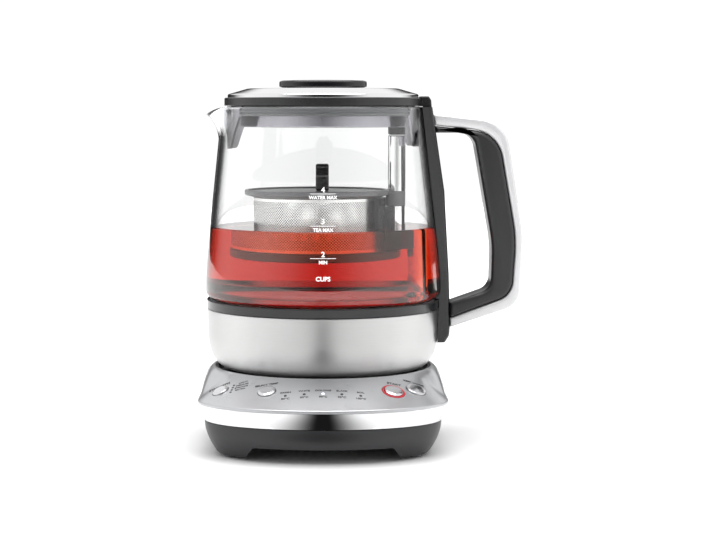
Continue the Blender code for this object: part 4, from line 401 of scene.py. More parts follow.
def smooth_step(value: np.ndarray) -> np.ndarray:
    """Clamped value eased at both ends: 3 v squared minus 2 v cubed."""
    value = np.clip(value, 0.0, 1.0)
    return value * value * (3 - 2 * value)


def around(radius: np.ndarray | float, angle: np.ndarray, height: np.ndarray | float,
           axis: np.ndarray = JUG_AXIS) -> np.ndarray:
    """Points round an upright axis, from radius, angle and height broadcast together."""
    x, y = axis[0] + radius * np.cos(angle), axis[1] + radius * np.sin(angle)
    return np.stack(np.broadcast_arrays(x, y, height), -1)


def columns(count: int) -> np.ndarray:
    """Angles of so many columns round a full turn."""
    return np.arange(count) * FULL_TURN / count


def linked(name: str, data: bpy.types.ID) -> Piece:
    """Puts a mesh, curve, lamp or camera into the scene.

    Args:
        name: Name of the new object.
        data: What it shows.

    Returns:
        The new object.
    """
    made = bpy.data.objects.new(name, data)
    bpy.context.scene.collection.objects.link(made)
    return made


def mesh_object(name: str, points: np.ndarray, faces: list) -> Piece:
    """Makes a smooth-shaded mesh with outward faces and sharp creases.

    Args:
        name: Name of the piece.
        points: Points in millimetres, one row each.
        faces: Corner numbers of every face.

    Returns:
        The new object.
    """
    mesh = bpy.data.meshes.new(name)
    mesh.from_pydata((points * MM).tolist(), [], faces)
    mesh.update()
    edit = bmesh.new()
    edit.from_mesh(mesh)
    bmesh.ops.recalc_face_normals(edit, faces=edit.faces)
    edit.to_mesh(mesh)
    edit.free()
    mesh.shade_smooth()
    mesh.set_sharp_from_angle(angle=SHARP_ANGLE)
    return linked(name, mesh)


def skin(name: str, grid: np.ndarray, ring: bool = False) -> Piece:
    """Skins a grid of points whose rows close on themselves.

    Args:
        name: Name of the piece.
        grid: Points as rows by columns by three.
        ring: Whether the last row joins the first; otherwise both are capped.

    Returns:
        The new object.
    """
    rows, count = grid.shape[:2]
    index = np.arange(rows * count).reshape(rows, count)
    index = np.hstack((index, index[:, :1]))
    if ring:
        index = np.vstack((index, index[:1]))
    quads = np.stack((index[:-1, :-1], index[:-1, 1:], index[1:, 1:], index[1:, :-1]), axis=-1)
    faces = [tuple(quad) for quad in quads.reshape(-1, 4).tolist()]
    if not ring:
        faces += [tuple(range(count))[::-1], tuple(range((rows - 1) * count, rows * count))]
    return mesh_object(name, grid.reshape(-1, 3), faces)


def turned(name: str, profile: np.ndarray, axis: np.ndarray = JUG_AXIS, segments: int = 160,
           ring: bool = True) -> Piece:
    """Turns a (radius, height) outline round an upright axis.

    Args:
        name: Name of the piece.
        profile: Outline, one row each.
        axis: x and y of the axis.
        segments: Facets of a full turn.
        ring: True for a closed outline off the axis, False for one that starts and ends on it.

    Returns:
        The new object.
    """
    radius = np.maximum(profile[:, :1], POLE_RADIUS)
    return skin(name, around(radius, columns(segments), profile[:, 1:], axis), ring)


def lathe(name: str, corners: list[Triple], axis: np.ndarray = JUG_AXIS,
          segments: int = 160, solid: bool = False, steps: int = 5) -> Piece:
    """Turns an outline with rounded corners; a solid one starts and ends on the axis."""
    return turned(name, fillet(corners, steps, closed=not solid), axis, segments, not solid)


def cylinder(name: str, radius: float, low: float, high: float, axis: np.ndarray,
             segments: int) -> Piece:
    """Plain solid cylinder, to cut or join with."""
    outline = np.array(((0.0, low), (radius, low), (radius, high), (0.0, high)))
    return turned(name, outline, axis, segments, ring=False)


def mount(piece: Piece, finish: Finish | TeaFinish, body: str) -> None:
    """Paints a piece, lifts it from its drawing's heights and lets it ride on its body.

    Args:
        piece: The piece.
        finish: Its finish.
        body: Body of the frame that it rides on.
    """
    piece.data.materials.clear()
    piece.data.materials.append(finish.material())
    if body in LIFTED_BODIES:
        piece.data.transform(Matrix.Translation((0.0, 0.0, LIFT * MM)))
    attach(piece, body)
    LOG.info("%s: %d faces on %s", piece.name, len(piece.data.polygons), body)


def dress(piece: Piece, finish: Finish, body: str, *replaced: str) -> None:
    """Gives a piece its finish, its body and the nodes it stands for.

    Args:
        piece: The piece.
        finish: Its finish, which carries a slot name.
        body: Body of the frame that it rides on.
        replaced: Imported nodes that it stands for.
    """
    mount(piece, finish, body)
    if replaced:
        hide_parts(*replaced)


def boolean(target: Piece, tool: Piece, operation: str = "DIFFERENCE") -> None:
    """Applies one exact Boolean to the target's mesh and removes the tool.

    Args:
        target: Piece that is cut or joined.
        tool: The other solid.
        operation: DIFFERENCE, UNION or INTERSECT.
    """
    change = target.modifiers.new("Cut", "BOOLEAN")
    change.operation = operation
    change.object = tool
    evaluated = target.evaluated_get(bpy.context.evaluated_depsgraph_get())
    mesh = bpy.data.meshes.new_from_object(evaluated)
    target.modifiers.clear()
    target.data = mesh
    bpy.data.objects.remove(tool, do_unlink=True)
    mesh.set_sharp_from_angle(angle=SHARP_ANGLE)


def section(outline: np.ndarray, level: float, plane: str, axis: np.ndarray) -> np.ndarray:
    """Places a flat outline in space.

    Args:
        outline: Points of the outline in its plane.
        level: Place along the direction square to the plane.
        plane: "xz" or "xy".
        axis: x and y added to every point.

    Returns:
        Points in the frame's axes.
    """
    flat = np.full(len(outline), level)
    if plane == "xz":
        return np.stack((outline[:, 0] + axis[0], flat + axis[1], outline[:, 1]), -1)
    return np.stack((outline[:, 0] + axis[0], outline[:, 1] + axis[1], flat), -1)


def prism(name: str, outline: np.ndarray, levels: tuple[float, float], plane: str = "xz",
          axis: np.ndarray = JUG_AXIS) -> Piece:
    """Extrudes an outline between two levels along the third direction."""
    return skin(name, np.array([section(outline, level, plane, axis) for level in levels]))


def rounded_prism(name: str, outline: np.ndarray, half: float, edge: float, steps: int = 4,
                  plane: str = "xz", axis: np.ndarray = JUG_AXIS,
                  base: float = 0.0) -> Piece:
    """A prism whose edges are rolled: the outline draws in along its normals near both ends.

    The inset follows a quarter circle, so the edge of the prism is a true round.

    Args:
        name: Name of the piece.
        outline: Closed outline in its plane.
        half: Half of the prism's thickness.
        edge: Radius of the rolled edges.
        steps: Steps of each roll.
        plane: "xz" or "xy".
        axis: x and y added to every point.
        base: Middle of the prism along its thickness.

    Returns:
        The new object.
    """
    ahead = np.roll(outline, -1, axis=0) - outline
    behind = outline - np.roll(outline, 1, axis=0)
    ahead /= np.maximum(np.hypot(*ahead.T), 1e-6)[:, None]
    behind /= np.maximum(np.hypot(*behind.T), 1e-6)[:, None]
    tangent = ahead + behind
    tangent /= np.maximum(np.hypot(*tangent.T), 1e-9)[:, None]
    normal = np.stack((tangent[:, 1], -tangent[:, 0]), axis=-1)
    area = np.sum(outline[:, 0] * np.roll(outline[:, 1], -1)
                  - np.roll(outline[:, 0], -1) * outline[:, 1])
    normal *= np.sign(area)
    turn = np.linspace(0.0, QUARTER_TURN, steps + 1)
    inset = np.concatenate((edge * (1 - np.sin(turn)), edge * (1 - np.cos(turn))))
    level = base + np.concatenate((-half + edge * (1 - np.cos(turn)),
                                   half - edge * (1 - np.sin(turn))))
    return skin(name, np.array([section(outline - normal * draw, station, plane, axis)
                                for draw, station in zip(inset, level)]))


@dataclass
class BasePlan:
    """Plan of the base: two half ellipses joined by straight sides, seen from the jug's axis."""

    half_width: float = 74.3
    front_centre: float = -51.0
    front_depth: float = 46.0
    rear_centre: float = 20.0
    rear_depth: float = 57.0
    count: int = 288

    def radius(self, angle: np.ndarray, inset: float = 0.0) -> np.ndarray:
        """Distance to the outline: the ray meets a straight side or the nearer ellipse.

        Args:
            angle: Polar angles.
            inset: How far the outline is drawn in.

        Returns:
            The distance along each angle.
        """
        across, along = np.cos(angle), np.sin(angle)
        wide = self.half_width - inset
        side = wide / np.maximum(np.abs(across), 1e-6)
        front = along < 0
        centre = np.where(front, self.front_centre, self.rear_centre)
        depth = np.where(front, self.front_depth, self.rear_depth) - inset
        a = (across / wide) ** 2 + (along / depth) ** 2
        b = -2 * along * centre / depth ** 2
        c = (centre / depth) ** 2 - 1
        curve = (np.sqrt(np.maximum(b * b - 4 * a * c, 0.0)) - b) / (2 * a)
        reach = side * along
        straight = (reach >= self.front_centre) & (reach <= self.rear_centre)
        return np.where(straight, side, curve)

    def loop(self, inset: float, height: float) -> np.ndarray:
        """One loop of the outline in the frame's axes."""
        angle = columns(self.count)
        return around(self.radius(angle, inset), angle, height)

    def lofted(self, name: str, outline: np.ndarray) -> Piece:
        """Lofts a closed (inset, height) outline round the plan."""
        return skin(name, np.array([self.loop(*row) for row in outline]), ring=True)


@dataclass
class ButtonSpec:
    """One push button: where it sits on the deck and how large it is."""

    stem: str
    angle: float
    share: float
    radius: float
    lit: bool = False


@dataclass
class PoweredBase:
    """The powered base: tub, bright band, sloped deck, seat, buttons and lights."""

    plan: BasePlan = field(default_factory=BasePlan)
    tub_top: float = 20.7
    tub_inset: float = 4.0
    tub_foot: float = 1.5
    tub_floor: float = 11.2
    belly: float = 9.0
    belly_power: float = 1.9
    arch_height: float = 8.7
    arch_top: float = 40.8
    arch_foot: float = 46.3
    band_low: float = 21.0
    band_high: float = 30.5
    band_inset: float = 1.5
    band_wall: float = 1.3
    rim_low: float = 30.8
    rim_high: float = 32.8
    rim_round: float = 0.8
    lip_height: float = 46.9
    lip_foot: float = 43.1
    seat: float = 66.5
    wall: float = 1.8
    front_width: float = 24.0
    side_width: float = 10.0
    ring_reach: float = 1.3
    buttons: tuple[ButtonSpec, ...] = (
        ButtonSpec("strength", -136.2, 0.405, 5.0),
        ButtonSpec("temperature", -114.0, 0.544, 5.3),
        ButtonSpec("start", -59.8, 0.512, 5.5, lit=True),
        ButtonSpec("custom", -48.5, 0.482, 6.0))

    def surface(self, angle: np.ndarray, share: np.ndarray | float,
                drop: float = 0.0) -> np.ndarray:
        """Deck surface between the rim and the seat.

        Along the front it is a flat slope; where the deck is narrow it swells into a
        quarter-ellipse shoulder. The two are blended by the width of the deck.

        Args:
            angle: Polar angles.
            share: 0 at the rim, 1 at the seat.
            drop: Distance of the surface below the outer one.

        Returns:
            Points in the frame's axes.
        """
        outer = self.plan.radius(angle, self.rim_round + drop)
        width = self.plan.radius(angle) - self.seat
        flat = smooth_step((width - self.side_width) / (self.front_width - self.side_width))
        share = np.clip(share, 0.0, 1.0)
        rise = flat * share + (1 - flat) * np.sqrt(np.maximum(0.0, 1 - (1 - share) ** 2))
        radius = outer + (self.seat + drop - outer) * share
        return around(radius, angle,
                      self.rim_high - drop + (self.lip_height - self.rim_high) * rise)

    def frame_at(self, angle_degrees: float, share: float) -> Matrix:
        """Frame of a spot on the deck, in metres.

        Args:
            angle_degrees: Polar angle of the spot.
            share: 0 at the rim, 1 at the seat.

        Returns:
            Matrix whose origin is the spot and whose +Z is the deck's normal there.
        """
        angle = np.radians(np.array([angle_degrees, angle_degrees + 1, angle_degrees - 1]))
        point, ahead, behind = self.surface(angle, share)
        up, down = (self.surface(angle[:1], share + step)[0] for step in (0.02, -0.02))
        normal = Vector(np.cross(up - down, ahead - behind)).normalized()
        if normal.z < 0:
            normal.negate()
        across = Vector((1.0, 0.0, 0.0))
        across = (across - normal * across.dot(normal)).normalized()
        turn = Matrix((across, normal.cross(across), normal)).transposed().to_4x4()
        return Matrix.Translation(Vector(point * MM)) @ turn

    def place_at(self, x: float, y: float) -> Matrix:
        """Frame of a spot on the deck, in metres.

        Args:
            x: Distance of the spot to the right of the jug's axis.
            y: Distance behind the jug's axis.

        Returns:
            The same matrix as frame_at.
        """
        angle = math.atan2(y, x)
        outer = float(self.plan.radius(angle, self.rim_round))
        return self.frame_at(math.degrees(angle),
                             (outer - math.hypot(x, y)) / (outer - self.seat))

    def build(self) -> None:
        """Builds and dresses every piece of the base."""
        self.build_tub()
        self.build_band()
        self.build_deck()
        self.build_seat()
        for spec in self.buttons:
            self.build_button(spec)
        self.build_feet()
        self.build_outlet()

    def build_tub(self) -> None:
        """Bellied tub: its inset grows with a power of the depth, with an arch cut below."""
        height = np.linspace(self.tub_top - 0.3, 2.3, 22)
        inset = self.tub_inset + self.belly * ((self.tub_top - height) / self.tub_top
                                               ) ** self.belly_power
        floor = ((20.0, self.tub_floor), (11.0, self.tub_floor), (8.1, 15.0))
        top = ((8.1, self.band_high), (5.6, self.band_high), (5.6, self.tub_top),
               (self.tub_inset + 0.3, self.tub_top), (self.tub_inset + 0.05, self.tub_top - 0.08))
        foot = ((inset[-1] + 0.5, 1.7), (inset[-1] + 1.4, self.tub_foot),
                (inset[-1] + 3.0, self.tub_foot), (20.0, self.tub_foot))
        tub = self.plan.lofted("base_tub_shell",
                               np.vstack((floor, top, np.stack((inset, height), -1), foot)))
        boolean(tub, skin("tub_plate", np.array([self.plan.loop(19.5, self.tub_foot),
                                                 self.plan.loop(19.5, self.tub_floor)])), "UNION")
        low = -4.0
        foot_half = self.arch_foot - low * (self.arch_foot - self.arch_top) / self.arch_height
        arch = fillet([(-foot_half, low, 0.0), (foot_half, low, 0.0),
                       (self.arch_top, self.arch_height, 2.5),
                       (-self.arch_top, self.arch_height, 2.5)])
        boolean(tub, prism("arch_tool", arch, (-110.0, 90.0)))
        dress(tub, Finishes.tub, "base", "base_tub")

    def build_band(self) -> None:
        """Bright band, slightly bowed between its lower and upper edges."""
        height = np.linspace(self.band_low, self.band_high, 9)
        share = (height - self.band_low) / (self.band_high - self.band_low)
        inset = (self.tub_inset + (self.band_inset - self.tub_inset) * share
                 - 0.35 * np.sin(math.pi * share))
        inner = ((self.band_inset + self.band_wall, self.band_high),
                 (self.tub_inset + self.band_wall, self.band_low))
        band = self.plan.lofted("bright_band", np.vstack((np.stack((inset, height), -1), inner)))
        dress(band, Finishes.polished, "base", "chrome_band")

    def deck_rows(self) -> np.ndarray:
        """Rows of the deck, once round its section.

        Returns:
            Closed grid of the rim, the outer surface, the lip, the flange and the underside.
        """
        angle = columns(self.plan.count)
        rows = [self.plan.loop(*rim) for rim in (
            (0.25, self.rim_low), (0.0, self.rim_low + 0.25), (0.0, self.rim_high - 0.8),
            (0.08, self.rim_high - 0.4), (0.35, self.rim_high - 0.1))]
        share = 1 - np.cos(np.linspace(0.0, QUARTER_TURN, 30))
        share[1:] *= 0.985
        rows += [self.surface(angle, value) for value in share]
        rows += [around(self.seat + out, angle, height) for out, height in (
            (0.25, self.lip_height - 0.02), (0.05, self.lip_height - 0.15),
            (0.0, self.lip_height - 0.4), (0.0, self.lip_foot), (self.wall, self.lip_foot))]
        rows += [self.surface(angle, value, self.wall) for value in (1.0, 0.7, 0.4, 0.15, 0.0)]
        rows.append(self.plan.loop(self.wall + 0.8, self.rim_low))
        return np.array(rows)

    def build_deck(self) -> None:
        """Deck with a hole for every button."""
        deck = skin("silver_deck", self.deck_rows(), ring=True)
        for spec in self.buttons:
            reach = spec.radius + GAP + (self.ring_reach if spec.lit else 0.0)
            tool = cylinder("hole_tool", reach, -TOOL_REACH, TOOL_REACH, ORIGIN, 64)
            tool.data.transform(self.frame_at(spec.angle, spec.share))
            boolean(deck, tool)
        dress(deck, Finishes.silver, "base", "top_deck", "temperature_light_guide",
              "strength_light_guide")

    def build_seat(self) -> None:
        """Dark dish under the jug and the round connector in its middle."""
        outer, inner, bore = self.seat - 0.3, self.seat - 1.7, 21.3
        low, floor, high = 40.1, 41.5, 46.5
        dish = lathe("seat_bowl", [
            (outer, high, 0.3), (outer, low, 0.8), (bore, low, 0.0), (bore, floor, 0.2),
            (inner, floor, 1.4), (inner, high, 0.3)])
        dress(dish, Finishes.black, "base", "seat_dish")
        bore, groove_in, groove_out, outer, flange = 4.8, 10.8, 13.2, 21.0, 22.4
        low, step, groove, high = 38.4, 39.8, 45.0, 48.0
        hub = lathe("power_connector", [
            (bore, high, 0.3), (bore, low, 0.0), (flange, low, 0.0), (flange, step, 0.0),
            (outer, step, 0.0), (outer, high, 1.2), (groove_out, high, 0.3),
            (groove_out, groove, 0.3), (groove_in, groove, 0.3), (groove_in, high, 0.3)],
            segments=96)
        dress(hub, Finishes.black, "base", "connector_hub")
        pin = lathe("contact_stud", [
            (0.0, 40.3, 0.0), (4.2, 41.5, 0.3), (4.2, 48.5, 0.6), (0.0, 48.5, 0.0)],
            segments=48, solid=True)
        dress(pin, Finishes.brass, "base", "contact_pin")

    def build_button(self, spec: ButtonSpec) -> None:
        """Domed bright cap on a stem, with a dark gap and, for start, a red lit ring.

        Args:
            spec: The button.
        """
        r, place = spec.radius, self.frame_at(spec.angle, spec.share)
        stem, skirt, foot = 2.2, -1.8, -6.0
        cap = lathe(f"{spec.stem}_cap", [
            (0.0, 1.35, 0.0), (0.72 * r, 1.2, 2.0), (r, 0.75, 0.5), (r, skirt, 0.2),
            (stem, -3.0, 0.3), (stem, foot, 0.0), (0.0, foot, 0.0)], ORIGIN, 64, solid=True)
        cap.data.transform(place)
        dress(cap, Finishes.button, f"{spec.stem}_button", f"{spec.stem}_button")
        if spec.lit:
            inner, outer, high = r + GAP, r + self.ring_reach, 0.25
            ring = lathe("red_start_ring", [
                (inner, high, 0.2), (inner, skirt, 0.0), (outer, skirt, 0.0),
                (outer, high, 0.2)], ORIGIN, 64)
            ring.data.transform(place)
            dress(ring, Finishes.red_ring, "base", "start_ring_light")

    def build_feet(self) -> None:
        """Rubber pads: a bar with round ends and a rolled lower edge."""
        half, wide = 12.0, 4.0
        arc = np.linspace(0.0, math.pi, 13)
        top = np.stack((wide * np.cos(arc), half - wide + wide * np.sin(arc)), -1)
        places = ((-54.5, -52.0), (54.5, -52.0), (-54.5, 16.0), (54.5, 16.0))
        for index, place in enumerate(places, start=1):
            pad = rounded_prism(f"foot_pad_{index}", np.vstack((top, -top)), 0.6, 0.3,
                                plane="xy", axis=JUG_AXIS + place, base=0.6)
            dress(pad, Finishes.rubber, "base", f"rubber_foot_{index}")

    def build_outlet(self) -> None:
        """Bush at the back where a cord would enter."""
        low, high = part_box("cord_outlet")
        bush = lathe("outlet_bush", [
            (1.7, 0.0, 0.3), (4.2, 0.0, 0.3), (4.2, -0.8, 0.0), (3.4, -0.8, 0.0),
            (3.4, -4.0, 0.0), (1.7, -4.0, 0.0)], ORIGIN, 48)
        middle = Vector(((low.x + high.x) / 2, high.y, (low.z + high.z) / 2))
        bush.data.transform(Matrix.Translation(middle) @ Matrix.Rotation(-QUARTER_TURN, 4, "X"))
        dress(bush, Finishes.black, "base", "cord_outlet")


@dataclass
class SteelFoot:
    """Brushed steel lower jug with its collar, heating plate and underside."""

    belly: float = 71.3
    bend: float = 70.9
    toe_centre: float = 58.5
    toe_across: float = 12.4
    toe_height: float = 64.0
    lip: float = 60.0
    low: float = 42.7
    high: float = 78.8
    wall: float = 1.0
    collar: float = 71.6
    collar_low: float = DRAWN_COLLAR_FOOT
    collar_high: float = 84.6
    shelf: float = 1.2
    plate: float = 64.7
    plate_top: float = 84.1
    socket: float = 22.6

    def profile(self) -> np.ndarray:
        """Outline of the shell, an elliptic toe under a near cylinder.

        Returns:
            Closed outline, as (radius, height) rows.
        """
        end = math.acos((self.lip - self.toe_centre) / self.toe_across)
        turn = np.linspace(0.0, end, 40)
        drop = (self.toe_height - self.low) / math.sin(end)
        toe, inner = (np.stack((self.toe_centre + (self.toe_across - wall) * np.cos(turn),
                                self.toe_height - (drop - wall) * np.sin(turn)), -1)
                      for wall in (0.0, self.wall))
        top = fillet([(self.bend - self.wall, self.toe_height, 0.0),
                      (self.belly - self.wall, self.high, 0.25), (self.belly, self.high, 0.35),
                      (self.bend, self.toe_height, 0.0)], closed=False, hold=math.inf)
        return np.vstack((top, toe[1:], inner[:-2][::-1][:-1]))

    def build(self) -> None:
        """Builds and dresses the lower jug."""
        shell = turned("brushed_foot", self.profile(), segments=224)
        dress(shell, Finishes.brushed, "jug", "steel_shell")
        low, high, radius = self.collar_low, self.collar_high, self.collar
        ring = lathe("glass_collar", [
            (radius, low, 0.3), (radius, high, 0.5), (radius - 1.2, high, 0.3),
            (radius - 1.2, low + self.shelf, 0.3), (radius - 8.5, low + self.shelf, 0.2),
            (radius - 8.5, low, 0.2)], segments=224)
        dress(ring, Finishes.collar, "jug", "collar_ring")
        low, high = (corner.z for corner in drawn_box("jug_seal"))
        seal_out, seal_in = 70.0, 64.95
        seal = lathe("glass_seal", [
            (seal_in, high, 0.4), (66.2, high, 0.4), (67.2, low + 1.2, 0.5), (68.0, high, 0.4),
            (seal_out, high, 0.5), (seal_out, low, 0.4), (seal_in, low, 0.4)])
        dress(seal, Finishes.rubber, "jug")
        self.build_plate()
        self.build_underside()

    def build_plate(self) -> None:
        """Heating plate: a shallow steel pan with a rolled edge, seen through the tea."""
        low, top, radius = drawn_box("heating_plate")[0].z + 0.2, self.plate_top, self.plate
        pan = lathe("steel_floor", [
            (0.0, top - 0.9, 0.0), (0.78 * radius, top - 0.9, 2.0), (0.84 * radius, top, 2.0),
            (radius, top, 0.4), (radius, low, 0.4), (0.0, low, 0.0)], solid=True)
        dress(pan, Finishes.plate_steel, "jug", "heating_plate")

    def build_underside(self) -> None:
        """Black underside with a foot ring and the socket for the base's connector."""
        low, high = (corner.z for corner in drawn_box("jug_underside"))
        disc = lathe("black_underside", [
            (59.7, high, 0.4), (59.7, 40.5, 0.8), (58.5, 40.5, 0.3), (58.5, low, 0.8),
            (53.5, low, 0.8), (53.5, 40.5, 0.6), (self.socket + 2.0, 40.5, 0.4),
            (self.socket, 41.4, 0.4), (self.socket, high, 0.3)])
        dress(disc, Finishes.black, "jug")


@dataclass
class GlassJug:
    """Clear glass wall with a drawn spout, and the tea in it."""

    foot: float = 72.6
    shoulder: float = 99.7
    spread: float = 12.0
    top: float = 62.0
    high: float = 202.0
    corner_high: float = 90.9
    corner_across: float = 5.0
    corner_depth: float = 6.0
    neck: float = 67.6
    low: float = 81.9
    wall: float = 2.6
    lip: float = 0.9
    spout_low: float = 182.0
    spout_reach: float = 10.0
    spout_dip: float = 4.5
    spout_half: float = math.radians(24.0)
    tea_top: float = 129.2
    wetting: float = 0.15
    count: int = 288

    def outer(self, height: np.ndarray | float) -> np.ndarray:
        """Outer radius: a rounded foot, a parabola, then a straight cone.

        Args:
            height: Heights on the wall.

        Returns:
            The radius at each height.
        """
        slope = (self.top - self.foot) / (self.high - self.shoulder)
        along = height - (self.shoulder - self.spread)
        bend = slope * along ** 2 / (4 * self.spread)
        line = slope * (height - self.shoulder)
        body = self.foot + np.where(along <= 0, 0.0, np.where(along >= 2 * self.spread, line, bend))
        down = np.clip((self.corner_high - height) / self.corner_depth, 0.0, 1.0)
        return body - self.corner_across * (1 - np.sqrt(np.maximum(0.0, 1 - down ** 2)))

    def poured(self, radius: np.ndarray, height: np.ndarray) -> np.ndarray:
        """Places rows round the jug and draws the spout out of the side at -X.

        Args:
            radius: Radius of each row.
            height: Height of each row.

        Returns:
            Grid of points: the spout's push is a cosine bump across the angle times a
            power of the height above the spout's foot, and the lip dips by the same share.
        """
        angle = columns(self.count)
        away = np.abs(angle - math.pi) / self.spout_half
        bump = np.where(away < 1, 0.5 * (1 + np.cos(math.pi * np.minimum(away, 1.0))), 0.0)
        lift = np.clip((height - self.spout_low) / (self.high - self.spout_low), 0.0, 1.0)[:, None]
        reach = radius[:, None] + self.spout_reach * bump * lift ** 1.5
        return around(reach, angle, height[:, None] - self.spout_dip * bump ** 2 * lift ** 2.5)

    def outside(self, height: np.ndarray) -> np.ndarray:
        """Outer radius with the neck that stands in the collar."""
        return np.where(height < self.corner_high - self.corner_depth, self.neck,
                        self.outer(height))

    def rows(self) -> tuple[np.ndarray, np.ndarray]:
        """Rows of the wall, up the outside and down the inside.

        Returns:
            Radius and height of every row.
        """
        corner = self.corner_high - self.corner_depth * np.sin(np.linspace(QUARTER_TURN, 0, 12))
        height = np.concatenate(([self.low + 0.5, corner[0] - 0.6], corner,
                                 np.linspace(self.corner_high + 1, self.spout_low, 34),
                                 np.linspace(self.spout_low, self.high - self.lip, 18)[1:]))
        outside = self.outside(height)
        roll = np.linspace(0.0, math.pi, 9)[1:-1]
        half = self.wall / 2
        radius = np.concatenate((
            outside, self.outer(self.high) - half + half * np.cos(roll),
            (outside - self.wall)[::-1], [self.neck - self.wall + 0.5, self.neck - 0.5]))
        lip = self.high - self.lip + self.lip * np.sin(roll)
        return radius, np.concatenate((height, lip, height[::-1], [self.low, self.low]))

    def build(self) -> None:
        """Builds the wall and the tea."""
        glass = skin("clear_jug", self.poured(*self.rows()), ring=True)
        dress(glass, Finishes.glass, "jug", "glass_jug")
        self.build_tea()

    def build_tea(self) -> None:
        """Brewed tea, wetting the glass, so that it fills the wall to its outline."""
        height = np.concatenate(([84.6], np.linspace(85.6, self.tea_top - 0.4, 40)))
        radius = self.outside(height) - self.wall + self.wetting
        profile = np.vstack(([[0.0, height[0]]], np.stack((radius, height), -1),
                             [[radius[-1] - 0.4, self.tea_top], [0.0, self.tea_top]]))
        mount(turned("brewed_tea", profile, segments=224, ring=False), Finishes.tea, "jug")


@dataclass
class LiftPost:
    """Upright on which the basket slides."""

    foot: float = 8.0
    shaft: float = 5.4
    low: float = 84.4
    high: float = 184.6

    def build(self) -> None:
        """Builds the shaft, its collar and its cap."""
        shaft = [(0.0, self.low, 0.0), (self.foot, self.low, 0.3),
                 (self.foot, self.low + 3.0, 1.0), (self.shaft, self.low + 4.5, 1.0),
                 (self.shaft, self.high, 0.5), (0.0, self.high, 0.0)]
        box = drawn_box("post_collar")
        low, high, wide = box[0].z, box[1].z, (box[1].x - box[0].x) / 2
        collar = [(0.0, low, 0.0), (wide - 0.6, low, 0.3), (wide, low + 0.8, 0.4),
                  (wide, high - 2.2, 0.5), (wide - 1.2, high - 1.0, 0.5),
                  (wide - 1.4, high, 0.3), (0.0, high, 0.0)]
        box = drawn_box("post_cap")
        low, high, wide = box[0].z, box[1].z, (box[1].x - box[0].x) / 2
        cap = [(0.0, low, 0.0), (wide, low, 0.3), (wide, high - 0.9, 0.8),
               (0.62 * wide, high, 0.9), (0.0, high, 0.0)]
        for name, corners, finish, node in (
                ("steel_upright", shaft, Finishes.post_steel, "lift_post"),
                ("upright_collar", collar, Finishes.black, "post_collar"),
                ("upright_cap", cap, Finishes.post_steel, "post_cap")):
            dress(lathe(name, corners, POST_AXIS, 96, solid=True), finish, "jug", node)


